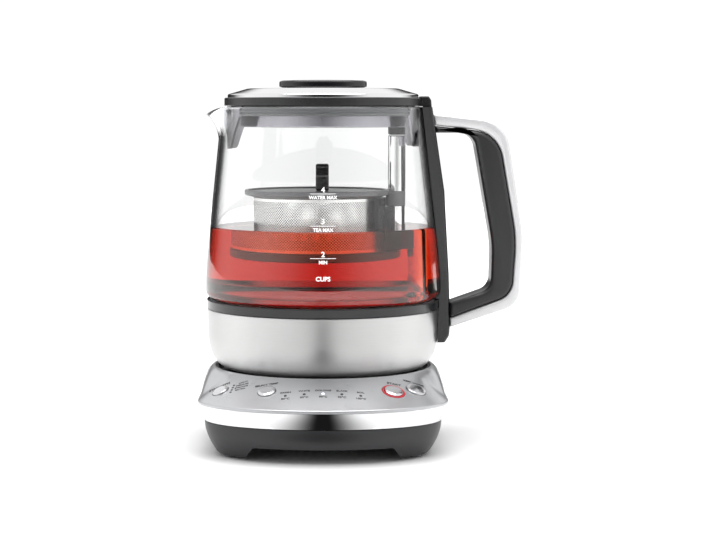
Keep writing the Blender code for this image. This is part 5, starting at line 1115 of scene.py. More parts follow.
@dataclass
class Handle:
    """Spine that clasps the jug, the D-shaped grip and the bright trim round its back."""

    jug: GlassJug
    foot: SteelFoot
    spine_low: float = 57.8
    spine_high: float = 208.5
    cap_start: float = 59.0
    cap_half: float = 10.2
    top_half: float = 17.0
    bottom_half: float = 10.0
    grip_half: float = 12.0
    trim_half: float = 11.0

    def edge(self, height: np.ndarray | float) -> np.ndarray:
        """Outer edge of the spine at each height."""
        return np.interp(height, (57.8, 62.0, 67.4, 99.7, 150.85, 204.5),
                         (75.0, 77.6, 78.0, 77.1, 73.9, 65.8))

    def body(self, height: np.ndarray) -> np.ndarray:
        """Radius of the jug's body with the clearance that the spine keeps to it.

        Args:
            height: Heights on the jug.

        Returns:
            The radius at each height.
        """
        toe = self.foot
        below = np.clip((toe.toe_height - height) / (toe.toe_height - toe.low), 0.0, 1.0)
        steel = np.where(height < toe.toe_height,
                         toe.toe_centre + toe.toe_across * np.sqrt(1 - below ** 2),
                         np.interp(height, (toe.toe_height, toe.high), (toe.bend, toe.belly)))
        ring = np.where((height > toe.collar_low - GAP) & (height < toe.collar_high + GAP),
                        toe.collar, 0.0)
        glass = np.where(height > toe.collar_high, self.jug.outer(height), 0.0)
        return np.maximum(np.maximum(steel * (height < toe.collar_high), ring), glass) + GAP

    def spine_rows(self) -> np.ndarray:
        """Sections of the spine, from its foot to its cap.

        Returns:
            Grid of points: an arc on the jug's side, rounded corners on the outer side.
        """
        height = np.concatenate((np.linspace(self.spine_low, 78.5, 18),
                                 (78.75, 78.85, 84.85, 84.95), np.linspace(86.0, 201.9, 60)))
        share = (height - self.spine_low) / (self.spine_high - self.spine_low)
        half = self.bottom_half + (self.top_half - self.bottom_half) * share
        side, turn = np.linspace(-1.0, 1.0, 25), np.linspace(0.0, QUARTER_TURN, 7)
        rows = []
        for level, wide, out, into in zip(height, half, self.edge(height), self.body(height)):
            y = side * wide
            arc = np.stack((np.sqrt(into ** 2 - y ** 2), y), -1)
            roll = min(2.2, 0.45 * (out - arc[-1, 0]))
            right = np.stack((out - roll + roll * np.sin(turn),
                              wide - roll + roll * np.cos(turn)), -1)
            rows.append(section(np.vstack((arc, right, right[::-1] * (1.0, -1.0))), level, "xy",
                                JUG_AXIS))
        return np.array(rows)

    def build(self) -> None:
        """Builds the spine, the trim and the grip."""
        spine = skin("clasp_spine", self.spine_rows())
        edge, high = self.edge(self.spine_high), self.spine_high
        cap = fillet([(self.cap_start, 201.0, 0.0), (edge + 0.4, 201.0, 0.0), (edge, 206.0, 1.5),
                      (edge - 1.5, high, 1.5), (self.cap_start, high, 1.0)])
        block = rounded_prism("cap_tool", cap, self.cap_half, 1.0)
        top = self.jug.top
        boolean(block, turned("rim_tool", np.array(((0.0, 199.0), (top + 0.6, 199.0),
                                                    (top + 0.4, 202.35), (0.0, 202.35))),
                              ring=False))
        boolean(spine, block, "UNION")
        dress(spine, Finishes.black, "jug", "handle_spine")
        outline = np.vstack((self.sweep(0.0, 0.0, 0.0), self.sweep(6.6, 4.1, 5.6)[::-1]))
        dress(rounded_prism("bright_trim", outline, self.trim_half, 1.4), Finishes.trim, "jug",
              "handle_trim")
        front = fillet([
            (self.joint(186.3), 186.3, 0.0), (91.5, 186.3, 10.0), (103.3, 118.0, 80.0),
            (102.6, 91.2, 9.0), (self.joint(82.5), 82.5, 0.0)], steps=14, closed=False)
        outline = np.vstack((self.sweep(6.9, 4.4, 5.9), front[::-1]))
        dress(rounded_prism("dark_grip", outline, self.grip_half, 3.0, steps=6), Finishes.grip,
              "jug", "handle_grip")

    def joint(self, height: float) -> float:
        """Where a piece of the handle meets the spine, at a height."""
        return float(self.edge(height)) + GAP

    def sweep(self, top: float, side: float, toe: float) -> np.ndarray:
        """Outer sweep of the handle, drawn in by three insets, from the top to the toe."""
        high, low = 197.3 - top, 67.4 + toe
        return fillet([
            (self.joint(high), high, 0.0), (111.0 - side, high - 4.0, 20.0),
            (122.3 - side, 122.0, 90.0), (120.0 - side, 81.2 + toe, 13.0),
            (self.joint(low), low, 0.0)], steps=16, closed=False)


@dataclass
class TeaBasket:
    """Perforated steel basket in a moulded ring that slides on the post."""

    ring: float = 44.5
    ring_top: float = 151.5
    ledge: float = 148.5
    edge: float = 2.4
    wall_radius: float = 39.0
    wall: float = 0.6
    low: float = 114.2
    high: float = 146.7
    margin: float = 1.6
    holes_around: int = 150
    hole_rows: int = 34
    hole_radius: float = 0.46

    def cells(self) -> tuple[np.ndarray, np.ndarray]:
        """Corners and holes of a honeycomb laid round the wall.

        Returns:
            Outer corners and hole corners, each rows by columns by six by (column, height).
        """
        row_pitch = (self.high - self.low - 2 * self.margin) / (self.hole_rows + 1 / 3)
        tall = row_pitch * 4 / 3
        row = np.arange(self.hole_rows)[:, None]
        column = np.arange(self.holes_around) + 0.5 * (row % 2)
        middle = self.low + self.margin + tall / 2 + row_pitch * row + 0 * column
        across = np.array((0.0, 0.5, 0.5, 0.0, -0.5, -0.5))
        upward = np.array((0.5, 0.25, -0.25, -0.5, -0.25, 0.25)) * tall
        turn = QUARTER_TURN - columns(6)
        width = FULL_TURN * self.wall_radius / self.holes_around
        column, middle = column[..., None], middle[..., None]
        outer = np.stack((column + across, middle + upward), -1)
        hole = np.stack((column + self.hole_radius / width * np.cos(turn),
                         middle + self.hole_radius * np.sin(turn)), -1)
        return outer, hole

    def wrapped(self, flat: np.ndarray, radius: float) -> np.ndarray:
        """Wraps (column, height) points round the basket."""
        return around(radius, flat[:, 0] * FULL_TURN / self.holes_around, flat[:, 1], BASKET_AXIS)

    def build_wall(self) -> None:
        """Pierced wall, as two honeycomb faces joined through every hole and round both ends;
        painted shade inside.
        """
        outer, hole = self.cells()
        halves = 2 * self.holes_around
        corners = outer.reshape(-1, 2).copy()
        corners[:, 0] %= self.holes_around
        keys = np.round(np.stack((corners[:, 0] * 2 % halves, corners[:, 1] / 0.05),
                                 -1)).astype(int)
        _, first, inverse = np.unique(keys, axis=0, return_index=True, return_inverse=True)
        shared, holes = corners[first], hole.reshape(-1, 2)
        rims = [np.stack((np.arange(halves) / 2, np.full(halves, level)), -1)
                for level in (self.low, self.high)]
        flat = np.vstack((shared, holes, *rims))
        total = len(flat)
        corner_index = inverse.reshape(-1, 6)
        hole_index = len(shared) + np.arange(len(holes)).reshape(-1, 6)
        low_index = len(shared) + len(holes) + np.arange(halves)
        high_index = low_index + halves
        half_column = np.round(shared[:, 0] * 2).astype(int) % halves
        low_border, high_border = (self.border(sign * shared[:, 1], half_column, halves)
                                   for sign in (-1, 1))
        outside = np.vstack((self.strips(corner_index, hole_index),
                             self.strips(low_index, low_border),
                             self.strips(high_border, high_index)))
        through = np.vstack([self.strips(index, index + total)
                             for index in (hole_index, low_index, high_index)])
        faces = np.vstack((outside, outside[:, ::-1] + total, through))
        points = np.vstack([self.wrapped(flat, self.wall_radius - depth)
                            for depth in (0.0, self.wall)])
        wall = mesh_object("pierced_wall", points, [tuple(row) for row in faces.tolist()])
        dress(wall, Finishes.basket_steel, "basket", "basket_strainer")
        # Inner faces and hole walls take the dark steel: painted shade, so the holes read dark.
        wall.data.materials.append(Finishes.painted_shade_steel.material())
        shaded = np.arange(len(faces), dtype=np.int32) >= len(outside)
        wall.data.polygons.foreach_set("material_index", shaded.astype(np.int32))

    @staticmethod
    def strips(first: np.ndarray, second: np.ndarray) -> np.ndarray:
        """Faces between two loops, or rows of loops, of as many points each.

        Args:
            first: Point numbers of the first loops.
            second: Point numbers of the second loops.

        Returns:
            Four point numbers a face.
        """
        ahead = [np.roll(loop, -1, axis=-1) for loop in (first, second)]
        return np.stack((first, ahead[0], ahead[1], second), -1).reshape(-1, 4)

    @staticmethod
    def border(height: np.ndarray, column: np.ndarray, count: int) -> np.ndarray:
        """Index of the highest shared corner in every column.

        Args:
            height: Height of every shared corner; turned over, the lowest is found.
            column: Half column of every shared corner.
            count: Number of half columns.

        Returns:
            One index for each half column.
        """
        order = np.argsort(height, kind="stable")
        found = np.zeros(count, int)
        found[column[order]] = order
        return found

    def build(self) -> None:
        """Builds the wall, the foot ring and the carrier ring; the floor is the part's own."""
        self.build_wall()
        self.build_foot_ring()
        self.build_ring()

    def build_foot_ring(self) -> None:
        """Foot ring round the pierced floor."""
        low, high = drawn_box("basket_foot_ring")
        radius, top = (high.x - low.x) / 2, high.z
        foot = top - 5.2
        ring = lathe("foot_hoop", [
            (radius - 0.6, top, 0.3), (radius, top - 0.8, 0.5), (radius, foot, 0.9),
            (radius - 1.8, foot, 0.6), (radius - 2.6, foot + 1.2, 0.6),
            (radius - 5.3, foot + 1.2, 0.6), (radius - 5.3, top, 0.3)], BASKET_AXIS, 192)
        dress(ring, Finishes.grey, "basket", "basket_foot_ring")

    def build_ring(self) -> None:
        """Carrier ring with a ledge for the cover, its arm and the sleeve on the post."""
        wide, inner = self.ring, self.ring - self.edge
        ring = lathe("carrier_ring", [
            (inner, self.ring_top, 0.4), (wide, self.ring_top, 0.8), (wide, self.ledge, 0.6),
            (39.3, 147.0, 0.3), (38.2, 147.0, 0.2), (38.2, self.ledge, 0.3),
            (inner, self.ledge, 0.3)], BASKET_AXIS, 192)
        below, above = 138.0, 156.0
        sleeve = lathe("sleeve_tool", [(0.0, 150.6, 0.0), (7.2, 150.6, 0.8), (7.2, 141.3, 0.8),
                                       (0.0, 141.3, 0.0)], POST_AXIS, 96, solid=True)
        boolean(sleeve, cylinder("inside_tool", 42.4, below, above, BASKET_AXIS, 192))
        flush = np.array(((4.9, 134.0), (12.0, 134.0), (12.0, 150.9), (4.9, 150.9)))
        boolean(sleeve, prism("flush_tool", flush, (-12.0, 12.0), axis=POST_AXIS))
        start, end = BASKET_AXIS[0] - JUG_AXIS[0] + 42.7, POST_AXIS[0] - JUG_AXIS[0]
        arm = np.array(((start, 148.9), (end, 148.9), (end, 150.2), (start, 150.2)))
        boolean(ring, sleeve, "UNION")
        boolean(ring, rounded_prism("arm_tool", arm, 8.0, 0.4), "UNION")
        boolean(ring, cylinder("bore_tool", 5.7, below, above, POST_AXIS, 96))
        dress(ring, Finishes.grey, "basket", "basket_ring")


@dataclass
class BasketCover:
    """Cover of the basket with its upright waisted finger grip."""

    edge: float = 41.8
    low: float = 148.8
    top: float = 150.45
    waist: float = 0.7

    def build(self) -> None:
        """Builds the disc and the grip."""
        cover = lathe("basket_disc", [
            (0.0, 150.85, 0.0), (21.0, 150.8, 2.0), (23.0, self.top, 1.0),
            (self.edge, self.top, 0.4), (self.edge, self.low, 0.2), (0.0, self.low, 0.0)],
            BASKET_AXIS, 192, solid=True)
        dress(cover, Finishes.grey, "basket_lid", "basket_cover")
        low, high = drawn_box("cover_grip")
        half, wide = (high.y - low.y) / 2, (high.x - low.x) / 2
        middle, waist = (low.z + high.z) / 2, half * self.waist
        outline = fillet([
            (-half, low.z, 1.2), (half, low.z, 1.2), (waist, middle, 12.0), (half, high.z, 2.0),
            (-half, high.z, 2.0), (-waist, middle, 12.0)], steps=8)
        grip = rounded_prism("finger_grip", outline, wide, 1.2, axis=ORIGIN)
        x, y, _ = node_middle("cover_grip") * MM
        grip.data.transform(Matrix.Translation((x, y, 0.0))
                            @ Matrix.Rotation(QUARTER_TURN, 4, "Z"))
        dress(grip, Finishes.gloss_black, "basket_lid", "cover_grip")


@dataclass
class Lid:
    """Lid: dark rim with a polished dome, an oval knob, a smoked skirt and two tongues."""

    rim: float = 60.4
    low: float = 202.6
    high: float = 207.6
    plug: float = 56.3
    plug_low: float = 196.4
    plug_wall: float = 1.5
    bore: float = 6.3
    dome: float = 58.4
    notch: float = 10.5
    tongue: float = 58.8
    tongue_wall: float = 1.2
    tongue_corner: float = 3.0
    ribs: int = 3

    def build(self) -> None:
        """Builds every piece of the lid."""
        self.build_rim()
        self.build_dome()
        self.build_knob()
        self.build_seal()
        self.build_skirt()
        self.build_tongue("spout_tongue", math.pi, 34.0, 20.0, 176.6)
        self.build_tongue("handle_tongue", 0.0, 30.0, 24.0, 178.0)

    def build_rim(self) -> None:
        """Rim with the dome's seat, its floor and the plug, notched for the handle's cap."""
        floor, seat, inner = 204.2, 206.5, self.dome + GAP
        plug_inner = self.plug - self.plug_wall
        rim = lathe("dark_rim", [
            (self.bore, floor, 0.0), (inner - 1.6, floor, 0.3), (inner - 1.6, seat, 0.0),
            (inner, seat, 0.0), (inner, self.high, 0.2), (self.rim, self.high, 1.3),
            (self.rim, self.low, 0.3), (self.plug, self.low, 0.2), (self.plug, self.plug_low, 0.4),
            (plug_inner, self.plug_low, 0.4), (plug_inner, self.low, 0.0),
            (self.bore, self.low, 0.0)], segments=224)
        notch = np.array(((inner, 198.6), (70.0, 198.6), (70.0, 211.6), (inner, 211.6)))
        boolean(rim, prism("notch_tool", notch, (-self.notch, self.notch)))
        dress(rim, Finishes.black, "lid", "lid_rim")

    def build_dome(self) -> None:
        """Spun steel dome: upright edge, rolled shoulder and a faintly crowned top."""
        top, foot, inner = 213.5, 206.8, self.dome - 0.9
        outside = fillet([
            (self.bore, top, 0.0), (30.0, top - 0.05, 12.0), (46.0, top - 0.3, 8.0),
            (57.8, 209.8, 1.0), (self.dome, 209.3, 0.4), (self.dome, foot, 0.0)], steps=9,
            closed=False)
        inside = fillet([
            (inner, foot, 0.0), (inner, 208.7, 0.4), (57.2, 209.0, 0.6), (45.6, 212.3, 6.0),
            (self.bore, 212.6, 0.0)], steps=6, closed=False)
        dress(turned("steel_dome", np.vstack((outside, inside)), segments=224), Finishes.dome,
              "lid", "lid_dome")

    def build_knob(self) -> None:
        """Low oval knob that stands just over the dome, with rolled edges and a soft crown."""
        low, high = drawn_box("lid_knob")
        base, drawn_rise = 213.8, 4.7
        share = np.array((0.20, 0.94, 0.95, 0.985, 0.997, 1.0, 1.0, 0.99, 0.965, 0.91, 0.70,
                          0.40, 0.12))[:, None]
        level = np.array((0.0, 0.0, 0.12, 0.35, 0.6, 0.9, 3.1, 3.7, 4.1, 4.35, 4.55, 4.65,
                          drawn_rise))[:, None]
        angle = columns(128)
        grid = np.stack(np.broadcast_arrays(
            JUG_AXIS[0] + share * (high.x - low.x) / 2 * np.cos(angle),
            JUG_AXIS[1] + share * (high.y - low.y) / 2 * np.sin(angle),
            base + level * (high.z - base) / drawn_rise), -1)
        knob = skin("oval_knob", grid)
        boolean(knob, cylinder("pin_tool", 6.0, self.low, 215.0, JUG_AXIS, 48), "UNION")
        dress(knob, Finishes.gloss_black, "lid", "lid_knob")

    def build_seal(self) -> None:
        """Silicone seal with thin ribs, open where the tongues pass."""
        inner, band, reach, top = self.plug + GAP, self.plug + 1.0, 59.0, self.low - GAP
        outline = [(inner, top, 0.0), (band, top, 0.2)]
        for index in range(self.ribs):
            level = top - (0.9 + 1.9 * index)
            outline += [(band, level + 0.1, 0.2), (reach, level - 0.1, 0.25),
                        (reach, level - 0.6, 0.2), (band, level - 0.8, 0.2)]
        outline += [(band, self.plug_low, 0.2), (inner, self.plug_low, 0.0)]
        seal = lathe("lid_gasket", outline, segments=192, steps=3)
        for centre, half in ((math.pi, 34.6), (0.0, 30.6)):
            angle = centre + np.radians(half) * np.linspace(-1.0, 1.0, 33)
            wedge = np.vstack([around(radius, turn, 0.0, ORIGIN)[:, :2]
                               for radius, turn in ((band, angle), (reach + 2, angle[::-1]))])
            boolean(seal, prism("wedge_tool", wedge, (self.plug_low - 2, self.low + 2), "xy"))
        dress(seal, Finishes.seal, "lid", "lid_seal")

    def build_skirt(self) -> None:
        """Smoked skirt that reaches down inside the rim, notched for the post."""
        low, high = drawn_box("lid_skirt")
        outer, wall, half, top = (high.y - low.y) / 2, 1.4, 8.5, 196.6
        skirt = lathe("smoked_skirt", [
            (outer - wall, high.z, 0.2), (outer, high.z, 0.2), (outer, low.z, 0.5),
            (outer - wall, low.z, 0.5)], segments=192)
        notch = fillet([(-half, low.z - 4, 0.0), (half, low.z - 4, 0.0), (half, top, 2.0),
                        (-half, top, 2.0)])
        tool = prism("notch_tool", notch, (40.0, 60.0), axis=ORIGIN)
        tool.data.transform(Matrix.Translation((*JUG_AXIS * MM, 0.0))
                            @ Matrix.Rotation(-QUARTER_TURN, 4, "Z"))
        boolean(skirt, tool)
        dress(skirt, Finishes.smoked, "lid", "lid_skirt")

    def build_tongue(self, name: str, centre: float, top: float, bottom: float,
                     foot: float) -> None:
        """Curved smoked plate, narrower below, with rounded lower corners.

        Args:
            name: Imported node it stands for.
            centre: Angle of its middle.
            top: Half angle at its top, in degrees.
            bottom: Half angle at its foot, in degrees.
            foot: Height of its foot.
        """
        corner = self.tongue_corner
        level = np.concatenate((foot + corner * (1 - np.cos(np.linspace(0, QUARTER_TURN, 10))),
                                np.linspace(foot + 4.0, self.low - GAP, 24)))
        rise = np.clip((level - foot) / (self.plug_low - foot), 0.0, 1.0)
        below = np.clip(1 - (level - foot) / corner, 0.0, 1.0)
        half = (np.radians(bottom + (top - bottom) * rise)
                - corner / self.tongue * (1 - np.sqrt(1 - below ** 2)))
        angle = centre + half[:, None] * np.linspace(-1.0, 1.0, 41)
        loops = [around(radius, turn, level[:, None]) for radius, turn in (
            (self.tongue - self.tongue_wall, angle), (self.tongue, angle[:, ::-1]))]
        dress(skin(f"smoked_{name}", np.concatenate(loops, axis=1)), Finishes.smoked, "lid", name)


@dataclass
class Lettering:
    """Generic printed words, laid on a curved or sloping surface as thin meshes."""

    depth: float = 0.05
    weight: float = 0.032

    def flat(self, name: str, words: str, size: float) -> Piece:
        """Makes flat lettering as a mesh, centred on its own origin.

        Args:
            name: Name of the piece.
            words: What it says.
            size: Height of a capital's em.

        Returns:
            The mesh object, in the x-y plane.
        """
        curve = bpy.data.curves.new(name, "FONT")
        curve.body = words
        curve.size = size * MM
        curve.align_x = "CENTER"
        curve.align_y = "CENTER"
        curve.extrude = self.depth * MM
        curve.offset = self.weight * size * MM
        curve.resolution_u = 3
        holder = linked(name, curve)
        evaluated = holder.evaluated_get(bpy.context.evaluated_depsgraph_get())
        mesh = bpy.data.meshes.new_from_object(evaluated)
        bpy.data.objects.remove(holder, do_unlink=True)
        return linked(name, mesh)

    def bar(self, name: str, width: float, height: float) -> Piece:
        """Flat bar of print, divided along its length so that it can wrap.

        Args:
            name: Name of the piece.
            width: Length of the bar.
            height: Breadth of the bar.

        Returns:
            The mesh object, in the x-y plane.
        """
        x = np.linspace(-width / 2, width / 2, int(width / 0.5))[:, None]
        y = np.array((-0.5, 0.5, 0.5, -0.5)) * height
        z = np.array((-1.0, -1.0, 1.0, 1.0)) * self.depth
        return skin(name, np.stack(np.broadcast_arrays(x, y, z), -1))

    @staticmethod
    def joined(name: str, parts: list[Piece]) -> Piece:
        """Joins flat pieces of print into one mesh object.

        Args:
            name: Name of the joined piece.
            parts: The pieces, which are used up.

        Returns:
            The joined piece.
        """
        edit = bmesh.new()
        for part in parts:
            edit.from_mesh(part.data)
            bpy.data.objects.remove(part, do_unlink=True)
        mesh = bpy.data.meshes.new(name)
        edit.to_mesh(mesh)
        edit.free()
        return linked(name, mesh)


@dataclass
class CupScale:
    """White cup marks on the front of the glass."""

    jug: GlassJug
    letters: Lettering
    lift: float = 0.06
    lines: tuple[float, ...] = (151.6, 133.0, 114.3)
    marks: tuple[tuple[str, float, float], ...] = (
        ("4", 4.2, 153.8), ("WATER MAX", 2.8, 149.4), ("3", 4.2, 135.5), ("TEA MAX", 2.8, 130.6),
        ("2", 4.2, 116.5), ("MIN", 2.8, 111.9), ("CUPS", 3.6, 102.3))

    def build(self) -> None:
        """Lays each mark out flat, then wraps the whole scale on the glass."""
        parts = [(self.letters.bar("line", 15.0, 0.3), height) for height in self.lines]
        parts += [(self.letters.flat("words", words, size), height)
                  for words, size, height in self.marks]
        for part, height in parts:
            part.data.transform(Matrix.Translation((0.0, height * MM, 0.0)))
        scale = self.letters.joined("cup_scale", [part for part, _ in parts])
        points = np.empty(len(scale.data.vertices) * 3)
        scale.data.vertices.foreach_get("co", points)
        across, height, out = points.reshape(-1, 3).T / MM
        radius = self.jug.outer(height)
        wrapped = around(radius + self.lift + out, across / radius - QUARTER_TURN, height)
        scale.data.vertices.foreach_set("co", (wrapped * MM).ravel())
        scale.data.update()
        mount(scale, Finishes.glowing_print_white, "jug")


@dataclass
class DeckPrint:
    """Words and small lamps on the sloping deck."""

    base: PoweredBase
    letters: Lettering

    def word(self, name: str, words: str, size: float, x: float, y: float) -> None:
        """Prints words on the deck at a point given from the jug's axis.

        Args:
            name: Name of the piece.
            words: What it says.
            size: Height of a capital's em.
            x: Distance to the right of the jug's axis.
            y: Distance behind it.
        """
        piece = self.letters.flat(name, words, size)
        piece.data.transform(self.base.place_at(x, y))
        mount(piece, Finishes.print_grey, "base")

    def lamp(self, name: str, x: float, y: float, radius: float, lit: bool = False) -> None:
        """Sets one small lamp in the deck.

        Args:
            name: Name of the piece.
            x: Distance to the right of the jug's axis.
            y: Distance behind it.
            radius: Radius of the lens.
            lit: Whether it glows.
        """
        lens = lathe(name, [(0.0, 0.25, 0.0), (radius, 0.15, 0.1), (radius, -0.6, 0.0),
                            (0.0, -0.6, 0.0)], ORIGIN, 32, solid=True)
        lens.data.transform(self.base.place_at(x, y))
        dress(lens, Finishes.lamp_lit if lit else Finishes.lamp_dark, "base")

    def build(self) -> None:
        """Prints the labels and sets the lamps."""
        self.word("strength_label", "STRENGTH", 2.7, -61.5, -51.2)
        self.word("temperature_label", "SELECT TEMP", 2.3, -33.0, -66.6)
        self.word("start_label", "START", 2.9, 41.6, -62.3)
        self.word("custom_label", "KEEP WARM", 2.3, 53.5, -53.6)
        for index, words in enumerate(("LIGHT", "MEDIUM", "STRONG", "EXTRA")):
            x, y = -52.6 - 1.6 * index / 3, -57.4 - 7.4 * index / 3
            self.lamp(f"strength_lamp_{index + 1}", x, y, 0.75)
            self.word(f"strength_word_{index + 1}", words, 2.0, x + 5.6, y + 0.2)
        scale = (("GREEN", "80"), ("WHITE", "85"), ("OOLONG", "90"), ("BLACK", "95"),
                 ("BOIL", "100"))
        for index, (words, heat) in enumerate(scale):
            x = -21.8 + 10.9 * index
            self.lamp(f"temperature_lamp_{index + 1}", x, -80.6, 0.9, lit=index == 2)
            self.word(f"temperature_word_{index + 1}", words, 2.1, x, -77.5)
            self.word(f"temperature_number_{index + 1}", heat + "°C", 2.3, x, -83.4)


@dataclass(frozen=True)
class StudioSky:
    """Light from all round, as two rings of brightness over the angle from the camera's side.

    Mirror rays see a dark strip behind the camera, soft boxes at both sides and a dark
    back, which draws the outlines of bright metal. Rays through glass see a white
    backdrop between black flags. The camera itself sees white.
    """

    camera_white: float = 1.06
    ceiling_start: float = 0.15
    ceiling_full: float = 0.36
    mirror_ring: Stops = (
        (0.0, 0.02), (12.0, 0.04), (24.0, 0.16), (40.0, 0.60), (56.0, 1.05), (106.0, 1.15),
        (120.0, 0.8), (135.0, 0.12), (150.0, 0.03), (180.0, 0.02))
    ceiling_ring: Stops = (
        (0.0, 0.45), (10.0, 0.50), (42.0, 1.0), (70.0, 1.05), (180.0, 1.05))
    clear_ring: Stops = (
        (0.0, 0.20), (33.0, 0.95), (60.0, 1.25), (106.0, 1.1), (124.0, 0.8), (140.0, 0.10),
        (160.0, 0.06), (167.0, 1.0), (180.0, 1.0))

    def build(self) -> None:
        """Builds the world: the rings are blended to the ceiling with the ray's height."""
        world = bpy.data.worlds.new("Studio sky")
        bpy.context.scene.world = world
        graph = Graph(world)
        place = graph.add("TexCoord", {}, "Generated")
        level = graph.add("VectorMath", {0: place, 1: (1.0, 1.0, 0.0)}, "Vector",
                          operation="MULTIPLY")
        level = graph.add("VectorMath", {0: level}, "Vector", operation="NORMALIZE")
        front = graph.add("VectorMath", {0: level, 1: (0.0, -1.0, 0.0)}, "Value",
                          operation="DOT_PRODUCT")
        share = graph.compute("DIVIDE", graph.compute("ARCCOSINE", front), math.pi)
        mirror = graph.compute("SUBTRACT", graph.add("LightPath", {}, "Is Glossy Ray"),
                            graph.add("LightPath", {}, "Is Transmission Ray"))
        clear_ring, mirror_ring, ceiling_ring = (
            self._ring(graph, share, stops)
            for stops in (self.clear_ring, self.mirror_ring, self.ceiling_ring))
        height = graph.add("SeparateXYZ", {"Vector": place}, "Z")
        rise = graph.ease(height, from_min=self.ceiling_start, from_max=self.ceiling_full)
        lit = graph.mix("FLOAT", rise, graph.mix("FLOAT", mirror, clear_ring, mirror_ring),
                        ceiling_ring)
        seen = graph.mix("FLOAT", graph.add("LightPath", {}, "Is Camera Ray"), lit,
                         self.camera_white)
        graph.feed("Background", {"Color": (1.0, 1.0, 1.0, 1.0), "Strength": seen})

    @staticmethod
    def _ring(graph: Graph, share: Socket, ring: Stops) -> Socket:
        """Brightness of one ring.

        Args:
            graph: Nodes of the world.
            share: Angle from the camera's side as a share of a half turn.
            ring: Angle in degrees and brightness of each stop.

        Returns:
            The socket that carries the brightness.
        """
        colour = graph.add("ValToRGB", {"Fac": share}, "Color")
        stops = colour.node.color_ramp.elements
        top = max(value for _, value in ring)
        for angle, _ in ring[1:-1]:
            stops.new(angle / 180.0)
        for stop, (angle, value) in zip(stops, ring):
            stop.position = angle / 180.0
            stop.color = (*[value / top] * 3, 1.0)
        return graph.compute("MULTIPLY", colour, top)


@dataclass(frozen=True)
class FloorCard:
    """Card on the floor before the machine, for mirror reflections alone: dark in the middle."""

    half_width: float = 600.0
    near: float = -94.0
    far: float = -600.0
    height: float = 0.6
    dark_half: float = 5.0
    bright_half: float = 52.0
    dark: float = 0.01
    bright: float = 1.15

    def build(self) -> None:
        """Builds the card; its glow is a ramp over the distance from the jug's middle plane."""
        x = JUG_AXIS[0]
        card = sheet("floor_card", x - self.half_width, x + self.half_width, self.far, self.near,
                     self.height)
        made = bpy.data.materials.new("Floor card")
        graph = Graph(made)
        place = graph.add("SeparateXYZ", {"Vector": graph.add("TexCoord", {}, "Object")}, "X")
        away = graph.compute("ABSOLUTE", graph.compute("SUBTRACT", place, x * MM))
        glow = graph.ease(away, from_min=self.dark_half * MM, from_max=self.bright_half * MM,
                          to_min=self.dark, to_max=self.bright)
        graph.feed("Material Output", {
            "Surface": graph.add("Emission", {"Strength": glow}, "Emission")})
        card.data.materials.append(made)
        for ray in ("camera", "diffuse", "transmission", "volume_scatter", "shadow"):
            setattr(card, f"visible_{ray}", False)


def sheet(name: str, left: float, right: float, near: float, far: float,
          height: float = 0.0) -> Piece:
    """Level rectangle of one face."""
    corners = ((left, near), (right, near), (right, far), (left, far))
    return mesh_object(name, np.array([(x, y, height) for x, y in corners]), [(0, 1, 2, 3)])


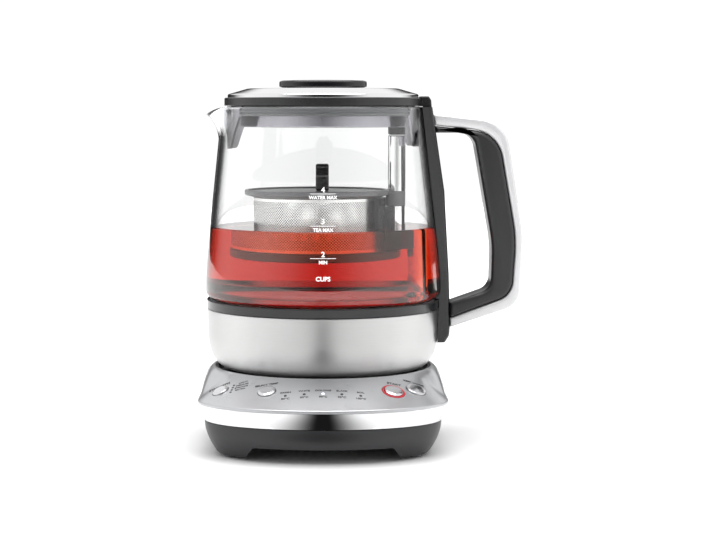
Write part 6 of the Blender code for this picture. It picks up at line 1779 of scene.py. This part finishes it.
@dataclass
class Studio:
    """White studio: floor, sky, a broad lamp overhead and the camera of the photograph.

    The glow, the lamp and the camera are given in metres.
    """

    floor_half: float = 3000.0
    floor_glow: float = 0.7
    glow_start: float = 0.22
    glow_full: float = 1.1
    lamp_place: Triple = (0.0, -0.2, 1.5)
    lamp_size: float = 1.4
    lamp_power: float = 22.0
    camera_place: Triple = (-0.024, -1.149, 0.2035)
    lens_shift: float = 0.0488
    tilt: float = math.radians(4.85)
    lens: float = 94.7
    sensor: float = 36.0

    def build(self) -> None:
        """Builds the floor, the light and the camera."""
        self.build_floor()
        FloorCard().build()
        StudioSky().build()
        self.build_lamp()
        self.build_camera()
        bpy.context.scene.view_settings.view_transform = "Standard"

    def build_floor(self) -> None:
        """Pale floor whose own glow grows with the distance until it meets the white behind."""
        half = self.floor_half
        floor = sheet("studio_floor", -half, half, -half, half)
        made = Finish("Studio floor", "", (0.84, 0.84, 0.84), 0.6, roughness_swing=0.05,
                      specular=0.2, colour_swing=0.01, bump=0.0).material()
        graph = Graph(made)
        away = graph.add("VectorMath", {0: graph.add("TexCoord", {}, "Object")}, "Value",
                         operation="LENGTH")
        glow = graph.ease(away, from_min=self.glow_start, from_max=self.glow_full,
                          to_max=self.floor_glow)
        graph.feed("Principled BSDF", {"Emission Strength": glow})
        floor.data.materials.append(made)

    def build_lamp(self) -> None:
        """Hangs the broad lamp over the machine, a little towards the camera."""
        data = bpy.data.lights.new("overhead_lamp", "AREA")
        data.shape = "DISK"
        data.size = self.lamp_size
        data.energy = self.lamp_power
        linked("overhead_lamp", data).location = self.lamp_place

    def build_camera(self) -> None:
        """Sets the camera where the photograph was taken from."""
        data = bpy.data.cameras.new("photo_camera")
        data.lens = self.lens
        data.sensor_width = self.sensor
        data.shift_x = self.lens_shift
        data.dof.use_dof = False
        data.clip_start = 0.01
        data.clip_end = 20.0
        camera = linked("photo_camera", data)
        camera.location = self.camera_place
        camera.rotation_euler = (QUARTER_TURN - self.tilt, 0.0, 0.0)
        bpy.context.scene.camera = camera


def repaint(finish: Finish, *names: str) -> None:
    """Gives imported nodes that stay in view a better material."""
    for name in names:
        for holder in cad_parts[name].material_slots:
            holder.material = finish.material()


def main() -> None:
    """Builds the whole picture in order, from the table up."""
    logging.basicConfig(level=logging.INFO, format="%(message)s")
    base, foot, jug, letters = PoweredBase(), SteelFoot(), GlassJug(), Lettering()
    for piece in (Studio(), base, foot, jug, LiftPost(), Handle(jug, foot), TeaBasket(),
                  BasketCover(), Lid(), CupScale(jug, letters), DeckPrint(base, letters)):
        piece.build()
    repaint(Finishes.basket_steel, "basket_floor")
    repaint(Finishes.black, "basket_bracket", "jug_connector", "strength_switch",
            "temperature_switch", "start_switch", "custom_switch")
    repaint(Finishes.element, "heating_element")
    repaint(Finishes.aluminium, "heat_diffuser")
    repaint(Finishes.board, "control_board", "power_board")


if __name__ == "__main__":
    main()
